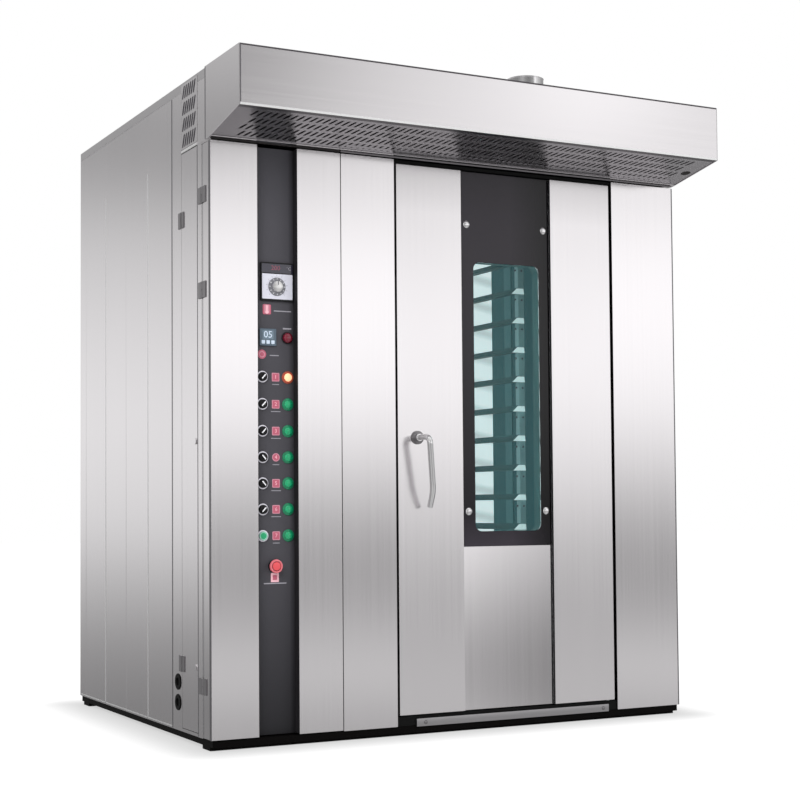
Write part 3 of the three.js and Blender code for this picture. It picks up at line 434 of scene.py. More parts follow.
def punched(cells: list[Cell], lean: float = 0.0) -> tuple[np.ndarray, np.ndarray, list[np.ndarray]]:
    """Flat faces of a sheet made of fields, each with a slot whose long ends are round.

    Every field's edge has points at its corners, at the quarters of its long sides and at the middle of
    its short sides, so that rows shifted by half a field still share their points.

    Args:
        cells: the fields, which tile the sheet.
        lean: how far the slots lean along u for each step along v; the sheet's own ends stay square.

    Returns:
        Points (n, 2), quads (m, 4) and flat faces of the fields that have no slot.
    """
    share = np.array([0, 0.25, 0.5, 0.75])
    half = np.array([0, 0.5])
    along = np.concatenate([share, np.ones(2), 1 - share, np.zeros(2)])
    up = np.concatenate([np.zeros(4), half, np.ones(4), 1 - half])
    field = np.array([c.field for c in cells])
    edge_u = field[:, :1] + along * (field[:, 1:2] - field[:, :1])
    edge_v = field[:, 2:3] + up * (field[:, 3:4] - field[:, 2:3])
    outer = np.stack([edge_u, edge_v], axis=-1)
    slotted = np.array([c.slot is not None for c in cells])
    slot = np.array([c.slot for c in cells if c.slot])
    turn = np.radians([215, 242.5, 270, 297.5, 325, 0, 35, 62.5, 90, 117.5, 145, 180])
    middle, radius = (slot[:, :1] + slot[:, 1:2]) / 2, (slot[:, 1:2] - slot[:, :1]) / 2
    low, high = slot[:, 2:3] + radius, slot[:, 3:4] - radius
    end = np.array([0, 0, 0, 0, 0, 0.5, 1, 1, 1, 1, 1, 0.5])
    inner_u = middle + radius * np.cos(turn)
    inner_v = low + end * (high - low) + radius * np.sin(turn) * (end != 0.5)
    inner = np.stack([inner_u, inner_v], axis=-1)
    points = np.concatenate([outer.reshape(-1, 2), inner.reshape(-1, 2)])
    within = (points[:, 0] > field[:, 0].min()) & (points[:, 0] < field[:, 1].max())
    points[:, 0] += lean * (points[:, 1] - field[:, 2:].mean()) * within
    a = np.arange(len(cells) * 12).reshape(-1, 12)[slotted]
    b = len(cells) * 12 + np.arange(len(slot) * 12).reshape(-1, 12)
    quads = np.stack([a, np.roll(a, -1, axis=1), np.roll(b, -1, axis=1), b], axis=-1).reshape(-1, 4)
    plain = [np.arange(i * 12, i * 12 + 12) for i in np.flatnonzero(~slotted)]
    return points, quads, plain


def thickened(cells: list[Cell], axis: Axis, low: float, high: float, lean: float = 0.0) -> Skin:
    """Gives a punched sheet its thickness: both faces, and a wall along every edge that only one face has.

    Args:
        cells: the fields, which tile the sheet.
        axis: the direction of the thickness.
        low: one face.
        high: the other face.
        lean: how far the slots lean, as in punched().

    Returns:
        A closed skin.
    """
    flat, quads, plain = punched(cells, lean)
    flat, renumber = np.unique(np.round(flat, 4), axis=0, return_inverse=True)
    renumber = renumber.reshape(-1)
    quads, plain = renumber[quads], [renumber[p] for p in plain]
    edges = [np.stack([quads, np.roll(quads, -1, axis=1)], axis=-1).reshape(-1, 2)]
    edges += [np.stack([p, np.roll(p, -1)], axis=1) for p in plain]
    known = {tuple(e) for e in np.concatenate(edges).tolist()}
    rim = np.array([e for e in known if (e[1], e[0]) not in known])
    n = len(flat)
    points = np.concatenate([axis.place(flat, low), axis.place(flat, high)])
    walls = np.stack([rim[:, 1], rim[:, 0], rim[:, 0] + n, rim[:, 1] + n], axis=1)
    both = np.concatenate([quads[:, ::-1], quads + n, walls[:, ::-1]])
    return skin_from(points, both, [*(p[::-1] for p in plain), *(p + n for p in plain)])


# Materials


class Nodes:
    """Adds and links nodes in one node tree."""

    def __init__(self, tree: bpy.types.NodeTree) -> None:
        """Keeps the tree and clears it."""
        self.tree = tree
        tree.nodes.clear()

    @classmethod
    def of(cls, owner: bpy.types.Material | bpy.types.World) -> Nodes:
        """The cleared nodes of a material or a world."""
        owner.use_nodes = True
        return cls(owner.node_tree)

    def feed(self, node: bpy.types.Node, inputs: dict) -> None:
        """Sets or links a node's inputs.

        Args:
            node: the node.
            inputs: a value or an output socket for each named or numbered input.
        """
        for name, value in inputs.items():
            if isinstance(value, Socket):
                self.tree.links.new(value, node.inputs[name])
            else:
                node.inputs[name].default_value = value

    def add(self, kind: str, inputs: dict | None = None, **settings: object) -> bpy.types.Node:
        """Adds a node.

        Args:
            kind: the node's class name without "ShaderNode".
            inputs: a value or an output socket for each named or numbered input.
            settings: the node's own settings.

        Returns:
            The node.
        """
        node = self.tree.nodes.new(kind if kind.startswith("Node") else "ShaderNode" + kind)
        for name, value in settings.items():
            setattr(node, name, value)
        self.feed(node, inputs or {})
        return node

    def op(self, operation: str, *values: object) -> Socket:
        """What a Math node gives for values or sockets."""
        return self.add("Math", dict(enumerate(values)), operation=operation).outputs[0]

    def vector(self, operation: str, *values: object) -> Socket:
        """What a Vector Math node gives for vectors or sockets."""
        return self.add("VectorMath", dict(enumerate(values)), operation=operation).outputs[0]

    def scaled(self, colour: object, factor: object) -> Socket:
        """A colour times a factor."""
        return self.add("VectorMath", {0: colour, "Scale": factor}, operation="SCALE").outputs[0]

    def ranged(self, value: Socket, given: Pair, wanted: Pair = (0.0, 1.0),
               **settings: object) -> Socket:
        """Carries a value from one range over to another and holds it inside.

        Args:
            value: the value.
            given: the range it comes in.
            wanted: the range it goes to.
            settings: the Map Range node's own settings.

        Returns:
            The new value.
        """
        (low, high), (first, last) = given, wanted
        inputs = {"Value": value, "From Min": low, "From Max": high, "To Min": first, "To Max": last}
        return self.add("MapRange", inputs, **settings).outputs[0]

    def mixed(self, factor: object, first: Socket, second: Socket, blend: str = "MIX") -> Socket:
        """Two colours mixed by a factor."""
        inputs = {"Factor": factor, 6: first, 7: second}
        return self.add("Mix", inputs, data_type="RGBA", blend_type=blend).outputs[2]

    def ramp(self, factor: Socket, stops: list[Pair]) -> Socket:
        """A run of greys along a factor.

        Args:
            factor: a value from 0 to 1.
            stops: (place, grey) in order.

        Returns:
            The colour.
        """
        node = self.add("ValToRGB", {0: factor})
        elements = node.color_ramp.elements
        while len(elements) < len(stops):
            elements.new(0.5)
        for element, (place, grey) in zip(elements, stops):
            element.position = place
            element.color = (grey, grey, grey, 1.0)
        return node.outputs[0]


class Effects:
    """Shader node groups that several finishes use; each is built once."""

    def __init__(self) -> None:
        """Builds every group."""
        self.grain = self._grain()
        self.cloudy = self._mottled("Cloudy", {"Detail": 4.0, "Roughness": 0.55})
        self.speckle = self._mottled("Speckle", {"Detail": 1.0})
        self.spangle = self._spangle()

    @staticmethod
    def _group(name: str, inputs: list[str],
               outputs: list[str]) -> tuple[Nodes, bpy.types.Node, bpy.types.Node]:
        """A new group whose first input is the Vector it reads.

        Args:
            name: the group's name.
            inputs: the value inputs.
            outputs: the value outputs.

        Returns:
            The tree's node adder, the group's input node and its output node.
        """
        tree = bpy.data.node_groups.new(name, "ShaderNodeTree")
        tree.interface.new_socket("Vector", in_out="INPUT", socket_type="NodeSocketVector")
        for way, keys in (("INPUT", inputs), ("OUTPUT", outputs)):
            for key in keys:
                tree.interface.new_socket(key, in_out=way, socket_type="NodeSocketFloat")
        nodes = Nodes(tree)
        return nodes, nodes.add("NodeGroupInput"), nodes.add("NodeGroupOutput")

    @staticmethod
    def _spread(nodes: Nodes, value: Socket, middle: object, amount: object) -> Socket:
        """middle + (value - 0.5) * amount."""
        return nodes.op("MULTIPLY_ADD", nodes.op("SUBTRACT", value, 0.5), amount, middle)

    def _grain(self) -> bpy.types.NodeTree:
        """Brushed lines: fine and coarse noise on a vector that the material has stretched."""
        inputs, outputs = ["Roughness", "Spread", "Tone"], ["Roughness", "Tone", "Height"]
        nodes, given, out = self._group("Brushed grain", inputs, outputs)
        vector = given.outputs["Vector"]
        lines = {"Vector": vector, "Scale": 1.0, "Detail": 2.0, "Roughness": 0.6}
        fine = nodes.add("TexNoise", lines).outputs[0]
        coarse = nodes.add("TexNoise", {"Vector": vector, "Scale": 0.13, "Detail": 3.0}).outputs[0]
        mixed = nodes.op("MULTIPLY", nodes.op("ADD", fine, coarse), 0.5)
        rough = self._spread(nodes, mixed, given.outputs["Roughness"], given.outputs["Spread"])
        tone = self._spread(nodes, coarse, 1.0, given.outputs["Tone"])
        nodes.feed(out, {"Roughness": rough, "Tone": tone, "Height": fine})
        return nodes.tree

    def _mottled(self, name: str, noise: dict[str, float]) -> bpy.types.NodeTree:
        """Uneven tone: slow as of handled metal, or fine as of moulded plastic, paint or rubber.

        Args:
            name: the group's name.
            noise: the noise's own inputs.

        Returns:
            The group.
        """
        nodes, given, out = self._group(name, ["Scale", "Amount"], ["Mask", "Height"])
        place = {"Vector": given.outputs["Vector"], "Scale": given.outputs["Scale"]}
        height = nodes.add("TexNoise", place | noise).outputs[0]
        nodes.feed(out, {"Mask": self._spread(nodes, height, 1.0, given.outputs["Amount"]), "Height": height})
        return nodes.tree

    def _spangle(self) -> bpy.types.NodeTree:
        """Crystals of a zinc coat: each Voronoi cell has its own tone."""
        nodes, given, out = self._group("Spangle", ["Scale", "Amount"], ["Mask", "Height"])
        cell = nodes.add("TexVoronoi", {"Vector": given.outputs["Vector"], "Scale": given.outputs["Scale"]})
        tone = nodes.add("SeparateColor", {0: cell.outputs["Color"]}).outputs[0]
        mask = self._spread(nodes, tone, 1.0, given.outputs["Amount"])
        nodes.feed(out, {"Mask": mask, "Height": cell.outputs["Distance"]})
        return nodes.tree


@dataclass(frozen=True)
class PaintedLightFade:
    """Painted light and shade: a slow change of tone along an axis, 1 up to the first place and a factor from
    the last place on.
    """

    axis: Axis
    first: float
    last: float
    factor: float


class Finish:
    """A material in the making: a Principled shader, Object coordinates and the effects it takes."""

    def __init__(self, name: str, effects: Effects, **sockets: object) -> None:
        """Starts a material.

        Args:
            name: the material's name.
            effects: the shared node groups.
            sockets: values for the shader's own sockets, with _ for a space.
        """
        self.material = bpy.data.materials.new(name)
        self.effects = effects
        self.nodes = Nodes.of(self.material)
        self.shader = self.nodes.add("BsdfPrincipled")
        self.nodes.add("OutputMaterial", {"Surface": self.shader.outputs[0]})
        for key, value in sockets.items():
            value = (*value, 1.0) if isinstance(value, tuple) else value
            self.shader.inputs[key.replace("_", " ").title().replace("Ior", "IOR")].default_value = value
        self.position = self.nodes.add("TexCoord").outputs["Object"]

    def group(self, tree: bpy.types.NodeTree, **inputs: object) -> bpy.types.Node:
        """Places one of the effects."""
        return self.nodes.add("Group", inputs, node_tree=tree)

    def cloud(self, scale: float, amount: float) -> Socket:
        """A mask that varies slowly about 1."""
        cloudy = self.group(self.effects.cloudy, Vector=self.position, Scale=scale, Amount=amount)
        return cloudy.outputs["Mask"]

    def multiply(self, a: object, b: object) -> Socket:
        """The product of two values."""
        return self.nodes.op("MULTIPLY", a, b)

    def with_painted_light(self, tone: Socket, painted_light: tuple[PaintedLightFade, ...]) -> Socket:
        """Multiplies a tone by each painted change of light and shade, whose places are in cabinet
        millimetres.

        Args:
            tone: the tone.
            painted_light: the painted changes of light and shade.

        Returns:
            The changed tone.
        """
        for light_fade in painted_light:
            place = self.nodes.add("SeparateXYZ", {0: self.position}).outputs[light_fade.axis.value]
            ends = tuple((at + CORNER[light_fade.axis.value]) * MM for at in (light_fade.first, light_fade.last))
            tone = self.multiply(tone, self.nodes.ranged(place, ends, (1.0, light_fade.factor)))
        return tone

    def tint(self, colour: Triple, factor: Socket) -> None:
        """Sets the base colour to a colour times a factor that changes over the surface."""
        self.nodes.feed(self.shader, {"Base Color": self.nodes.scaled(colour, factor)})

    def rough(self, value: float, mask: Socket) -> None:
        """Sets the roughness to a value times a mask."""
        self.nodes.feed(self.shader, {"Roughness": self.multiply(value, mask)})

    def bump(self, height: Socket, distance: float, strength: float = 1.0, lean: float = 0.0) -> None:
        """Raises the surface by a height in metres, and leans it as a sheet that isn't quite plumb.

        Args:
            height: the relief.
            distance: metres that a height of 1 stands for.
            strength: share of the relief that shows.
            lean: radians by which the sheet looks upwards.
        """
        relief = {"Height": height, "Distance": distance, "Strength": strength}
        normal = self.nodes.add("Bump", relief).outputs[0]
        if lean:
            normal = self.nodes.vector("NORMALIZE", self.nodes.vector("ADD", normal, (0, 0, lean)))
        self.nodes.feed(self.shader, {"Normal": normal})


@dataclass(frozen=True)
class BrushedSteel:
    """Brushed stainless sheet: satin, with lines along one axis and a faint unevenness."""

    name: str
    lines: Axis = Axis.Z
    colour: Triple = (0.79, 0.765, 0.78)
    roughness: float = 0.2
    spread: float = 0.05
    waves: float = 0.000012
    lean: float = 0.0
    metallic: float = 1.0
    painted_light: tuple[PaintedLightFade, ...] = ()
    scale_across: float = 850.0
    scale_along: float = 5.0
    tone: float = 0.06
    cloud: Pair = (2.3, 0.14)
    relief: float = 0.35

    def build(self, effects: Effects) -> bpy.types.Material:
        """Builds the material.

        Args:
            effects: the shared node groups.

        Returns:
            The material.
        """
        finish = Finish(self.name, effects, base_color=self.colour, metallic=self.metallic,
                        roughness=self.roughness)
        scale = tuple(self.scale_along if axis is self.lines else self.scale_across for axis in Axis)
        stretched = finish.nodes.add("Mapping", {"Vector": finish.position, "Scale": scale}).outputs[0]
        grain = finish.group(effects.grain, Vector=stretched, Roughness=self.roughness, Spread=self.spread,
                             Tone=self.tone).outputs
        finish.tint(self.colour, finish.with_painted_light(grain["Tone"], self.painted_light))
        finish.rough(grain["Roughness"], finish.cloud(*self.cloud))
        finish.bump(grain["Height"], self.waves, self.relief, self.lean)
        return finish.material


@dataclass(frozen=True)
class Moulded:
    """Plastic, paint or rubber: one colour with a fine texture and an optional clear coat."""

    name: str
    colour: Triple
    roughness: float = 0.4
    texture: float = 700.0
    depth: float = 0.00002
    variation: float = 0.12
    coat: float = 0.0
    specular: float = 0.5
    painted_light: tuple[PaintedLightFade, ...] = ()
    coat_roughness: float = 0.08
    cloud_scale: float = 9.0

    def build(self, effects: Effects) -> bpy.types.Material:
        """Builds the material.

        Args:
            effects: the shared node groups.

        Returns:
            The material.
        """
        finish = Finish(self.name, effects, base_color=self.colour, roughness=self.roughness,
                        coat_weight=self.coat, coat_roughness=self.coat_roughness,
                        specular_ior_level=self.specular)
        speckle = finish.group(effects.speckle, Vector=finish.position, Scale=self.texture,
                               Amount=self.variation).outputs
        cloud = finish.cloud(self.cloud_scale, self.variation)
        finish.tint(self.colour, finish.with_painted_light(finish.multiply(speckle["Mask"], cloud), self.painted_light))
        finish.rough(self.roughness, cloud)
        finish.bump(speckle["Height"], self.depth)
        return finish.material


@dataclass(frozen=True)
class Galvanised:
    """Zinc-coated steel with visible crystals."""

    name: str
    colour: Triple = (0.52, 0.54, 0.55)
    metallic: float = 0.9
    roughness: float = 0.42
    crystals: float = 70.0
    variation: float = 0.35
    depth: float = 0.00005
    relief: float = 0.4

    def build(self, effects: Effects) -> bpy.types.Material:
        """Builds the material.

        Args:
            effects: the shared node groups.

        Returns:
            The material.
        """
        finish = Finish(self.name, effects, base_color=self.colour, metallic=self.metallic,
                        roughness=self.roughness)
        spangle = finish.group(effects.spangle, Vector=finish.position, Scale=self.crystals,
                               Amount=self.variation).outputs
        finish.tint(self.colour, spangle["Mask"])
        finish.rough(self.roughness, spangle["Mask"])
        finish.bump(spangle["Height"], self.depth, self.relief)
        return finish.material


@dataclass(frozen=True)
class Glazing:
    """Clear or tinted glass with a faint wiped film."""

    name: str
    colour: Triple
    roughness: float = 0.02
    ior: float = 1.15
    film: Pair = (6.0, 0.5)

    def build(self, effects: Effects) -> bpy.types.Material:
        """Builds the material.

        Args:
            effects: the shared node groups.

        Returns:
            The material.
        """
        finish = Finish(self.name, effects, base_color=self.colour, roughness=self.roughness,
                        transmission_weight=1.0, ior=self.ior)
        finish.rough(self.roughness, finish.cloud(*self.film))
        return finish.material


@dataclass(frozen=True)
class Glow:
    """A lit or printed face, or one with a painted glow though it is no lamp: colour with a share of its own
    light.
    """

    name: str
    colour: Triple
    strength: float = 1.0
    roughness: float = 0.35
    cloud: Pair = (120.0, 0.25)

    def build(self, effects: Effects) -> bpy.types.Material:
        """Builds the material.

        Args:
            effects: the shared node groups.

        Returns:
            The material.
        """
        finish = Finish(self.name, effects, base_color=self.colour, roughness=self.roughness,
                        emission_color=self.colour, emission_strength=self.strength)
        finish.tint(self.colour, finish.cloud(*self.cloud))
        return finish.material


@dataclass(frozen=True)
class LitWall:
    """Chamber wall with painted light: it glows by its own emission, with painted soft shadows of the rack's
    rails across it.

    The painted shadows are waves of sin(2 pi (fall * x + z - start) / pitch), cut off below `cut`.
    """

    name: str
    colour: Triple
    strength: float
    pitch: float = 112.0
    fall: float = 0.2
    depth: float = 0.30
    start: float = 60.0
    cut: float = 0.1
    roughness: float = 0.5

    def build(self, effects: Effects) -> bpy.types.Material:
        """Builds the material.

        Args:
            effects: the shared node groups.

        Returns:
            The material.
        """
        finish = Finish(self.name, effects, base_color=self.colour, roughness=self.roughness,
                        emission_strength=self.strength)
        nodes = finish.nodes
        x, _, z = nodes.add("SeparateXYZ", {0: finish.position}).outputs
        # Painted shadow bands of the rails across the wall's own glow.
        level = nodes.op("SUBTRACT", nodes.op("MULTIPLY_ADD", x, self.fall, z), self.start * MM)
        wave = nodes.op("SINE", finish.multiply(level, 2 * math.pi / (self.pitch * MM)))
        band = nodes.ranged(wave, (self.cut, 1.0), (1.0, 1 - self.depth))
        finish.tint(self.colour, band)
        nodes.feed(finish.shader, {"Emission Color": nodes.scaled(self.colour, band)})
        return finish.material


FINISHES = (
    BrushedSteel("panel_steel", roughness=0.13),
    # Painted shade: door_steel darkens towards the door's top, under the hood.
    BrushedSteel("door_steel", roughness=0.18, lean=0.011, painted_light=(PaintedLightFade(Axis.Z, 1780, 1940, 0.78),)),
    # Painted reflection: kick_steel darkens towards its right side.
    BrushedSteel("kick_steel", roughness=0.13, lean=0.0355, painted_light=(PaintedLightFade(Axis.T, 925, 1293, 0.7),)),
    BrushedSteel("side_steel", roughness=0.17),
    BrushedSteel("roof_steel", Axis.S, (0.60, 0.585, 0.595), 0.3),
    BrushedSteel("seam_steel", Axis.Z, (0.16, 0.155, 0.165), 0.4, metallic=0.8),
    BrushedSteel("fold_steel", Axis.Z, (0.50, 0.49, 0.50), 0.25),
    BrushedSteel("hood_steel", Axis.T, roughness=0.14),
    # Painted shade: grille_steel darkens towards the hood's left end.
    BrushedSteel("grille_steel", Axis.T, (0.47, 0.45, 0.47), 0.26, metallic=0.88,
                 painted_light=(PaintedLightFade(Axis.T, 260, 20, 0.66),)),
    # Dark steel as painted shade under the hood's lip and in the gap below the hood.
    BrushedSteel("lip_shade_steel", Axis.T, (0.22, 0.21, 0.22), 0.4),
    # Near-white steel as painted highlights on hems, ledges and seams.
    BrushedSteel("painted_highlight_steel", Axis.T, (0.97, 0.97, 0.97), 0.4),
    BrushedSteel("bar_steel", Axis.T, (0.39, 0.38, 0.39), 0.3),
    BrushedSteel("inner_steel", Axis.Z, (0.80, 0.84, 0.84), 0.45, 0.1, metallic=0.3),
    # Painted shade: darker copies of the chamber's teal steel for the right wall, the duct strips, the
    # uprights and the rails.
    Moulded("side_wall_shade_teal", (0.06, 0.155, 0.17), 0.6, 60.0, 0.0, 0.1, specular=0.1),
    Moulded("strip_shade_teal", (0.11, 0.235, 0.25), 0.6, 60.0, 0.0, 0.1, specular=0.1),
    Moulded("upright_shade_teal", (0.30, 0.44, 0.46), 0.5, 60.0, 0.0, 0.08, specular=0.2),
    Moulded("rail_shade_teal", (0.05, 0.14, 0.15), 0.5, 60.0, 0.0, 0.08, specular=0.2),
    BrushedSteel("polished_steel", Axis.Z, (0.80, 0.79, 0.80), 0.14, 0.03, 4e-6),
    BrushedSteel("ring_steel", Axis.Z, (0.88, 0.86, 0.94), 0.28, 0.03, 4e-6),
    BrushedSteel("cap_steel", Axis.T, (0.93, 0.92, 0.92), 0.3, 0.05, 4e-6),
    BrushedSteel("tube_steel", Axis.Z, (0.88, 0.87, 0.88), 0.22, 0.02, 0.0),
    BrushedSteel("rose_steel", Axis.Z, (0.27, 0.26, 0.27), 0.24, 0.03, 4e-6),
    BrushedSteel("hinge_steel", Axis.Z, (0.30, 0.29, 0.30), 0.4, 0.1),
    Moulded("base_paint", (0.0025, 0.002, 0.002), 0.6, 420.0, 3e-5, 0.2, specular=0.06),
    Moulded("surround_paint", (0.004, 0.004, 0.004), 0.6, 420.0, 3e-5, 0.2, specular=0.12),
    # Near-black as painted shade in the control recess and on the door skins' returns.
    Moulded("painted_shade_grey", (0.020, 0.019, 0.021), 0.6, 420.0, 3e-5, 0.2, specular=0.2),
    Moulded("edge_black", (0.06, 0.055, 0.06), 0.5, 420.0, 0.0, 0.1, specular=0.2),
    # Painted shade: fascia_film darkens towards its foot and towards the recess's right wall.
    Moulded("fascia_film", (0.066, 0.064, 0.074), 0.5, 1400.0, 1e-5, 0.08, specular=0.25,
            painted_light=(PaintedLightFade(Axis.Z, 600, 40, 0.25), PaintedLightFade(Axis.T, 285, 303, 0.45))),
    # Painted reflection: the black glass border brightens towards its top and foot and darkens towards its
    # right edge.
    Moulded("glass_border_painted_reflection", (0.010, 0.0085, 0.011), 0.12, 60.0, 0.0, 0.06, specular=0.3,
            painted_light=(PaintedLightFade(Axis.Z, 1100, 1800, 2.2), PaintedLightFade(Axis.Z, 760, 620, 4.0),
                   PaintedLightFade(Axis.T, 1130, 1275, 0.2))),
    Moulded("seal_silicone", (0.016, 0.013, 0.013), 0.7, 300.0, 6e-5, 0.25),
    Moulded("black_plastic", (0.007, 0.007, 0.008), 0.4, 1500.0, 1e-5, 0.15, specular=0.3),
    Moulded("pale_plastic", (0.66, 0.66, 0.74), 0.35, 1500.0, 1e-5, 0.04),
    Moulded("white_mark", (0.85, 0.85, 0.88), 0.4, 900.0, 0.0, 0.04),
    Moulded("label_grey", (0.34, 0.33, 0.37), 0.45, 900.0, 0.0, 0.04),
    Moulded("grey_mark", (0.13, 0.13, 0.15), 0.4, 900.0, 0.0, 0.04),
    Moulded("dial_grey", (0.17, 0.17, 0.19), 0.35, 500.0, 0.0, 0.5),
    Moulded("red_tile", (0.50, 0.11, 0.17), 0.35, 900.0, 0.0, 0.12),
    Moulded("pink_edge", (0.62, 0.27, 0.34), 0.35, 900.0, 0.0, 0.08),
    Moulded("pink_mark", (0.88, 0.50, 0.56), 0.35, 900.0, 0.0, 0.08),
    # Painted highlight on the emergency stop's rim.
    Moulded("red_painted_highlight", (0.74, 0.17, 0.20), 0.28, 900.0, 1e-5, 0.1, 0.4),
    Moulded("red_plastic", (0.72, 0.075, 0.09), 0.3, 900.0, 1e-5, 0.1, 0.4),
    # Painted shade in the emergency stop's groove.
    Moulded("red_painted_shade", (0.22, 0.03, 0.04), 0.4, 900.0, 0.0, 0.1),
    Moulded("green_plastic", (0.006, 0.36, 0.145), 0.22, 300.0, 1e-5, 0.12, 0.6),
    Moulded("green_bezel", (0.004, 0.20, 0.09), 0.3, 300.0, 1e-5, 0.12, 0.4),
    Moulded("green_rim", (0.25, 0.55, 0.42), 0.3, 300.0, 1e-5, 0.12, 0.4),
    Moulded("alarm_lens", (0.16, 0.004, 0.02), 0.1, 120.0, 0.0, 0.5, 0.8),
    Moulded("timer_face", (0.085, 0.12, 0.155), 0.3, 900.0, 0.0, 0.08),
    Moulded("timer_glass", (0.13, 0.19, 0.24), 0.12, 900.0, 0.0, 0.06, 0.6),
    Moulded("display_black", (0.018, 0.016, 0.032), 0.1, 900.0, 0.0, 0.06, 0.6),
    Moulded("motor_paint", (0.15, 0.17, 0.18), 0.4, 260.0, 4e-5, 0.15),
    Moulded("tread_rubber", (0.022, 0.022, 0.022), 0.7, 400.0, 8e-5, 0.25),
    Moulded("hole_black", (0.002, 0.002, 0.002), 0.8, 400.0, 0.0, 0.1, specular=0.1),
    # Painted shade seen through the vent slots.
    Moulded("vent_shade_dark", (0.05, 0.046, 0.053), 0.7, 400.0, 0.0, 0.1, specular=0.2),
    Galvanised("galvanised_steel"),
    Glazing("tinted_glass", (0.80, 0.93, 0.925)),
    Glazing("clear_glass", (0.92, 0.985, 0.98)),
    # Painted light: the rear wall glows, with painted shadows of the rails.
    LitWall("rear_wall_lit", (0.765, 0.745, 0.755), 0.95),
    # Painted glow: the rail tabs and the window liner glow, though neither is a lamp.
    Glow("tab_painted_glow", (0.80, 0.84, 0.85), 0.42),
    Glow("lamp_lit", (1.0, 0.56, 0.31), 0.62),
    Glow("lamp_rim_lit", (0.30, 0.05, 0.025), 0.35),
    Glow("liner_painted_glow", (0.035, 0.10, 0.105), 0.30, 0.5),
    Glow("digits_red", (0.20, 0.06, 0.085), 0.35),
    Glow("digits_pale", (0.50, 0.58, 0.68), 0.2),
)


def palette() -> dict[str, bpy.types.Material]:
    """Builds every finish once, under its name."""
    effects = Effects()
    return {finish.name: finish.build(effects) for finish in FINISHES}


# Pieces


@dataclass(frozen=True)
class Patch:
    """A block of space, in cabinet millimetres; faces that lie wholly in it take another finish."""

    finish: str
    z: Pair
    s: Pair
    t: Pair = (-math.inf, math.inf)

    def holds(self, points: np.ndarray) -> bool:
        """Whether all the points (t, s, z) lie in the block."""
        ends = zip((self.t, self.s, self.z), points.min(axis=0), points.max(axis=0))
        return all(first <= low and high <= last for (first, last), low, high in ends)


KNUCKLES = tuple(
    Patch("hinge_steel", (z - HINGE_HALF - 1, z + HINGE_HALF + 1), (s - reach, s + reach))
    for heights, s, reach in ((CONTROL_HINGES, 74.0, 6.6), (SERVICE_HINGES, 271.0, 4.0)) for z in heights)


@dataclass(frozen=True)
class Part:
    """One skin and the name of its finish."""

    skin: Skin
    finish: str


def placed(name: str, data: bpy.types.ID) -> bpy.types.Object:
    """Puts a new object in the scene.

    Args:
        name: the object's name.
        data: its mesh, lamp or camera.

    Returns:
        The object.
    """
    made = bpy.data.objects.new(name, data)
    bpy.context.scene.collection.objects.link(made)
    return made


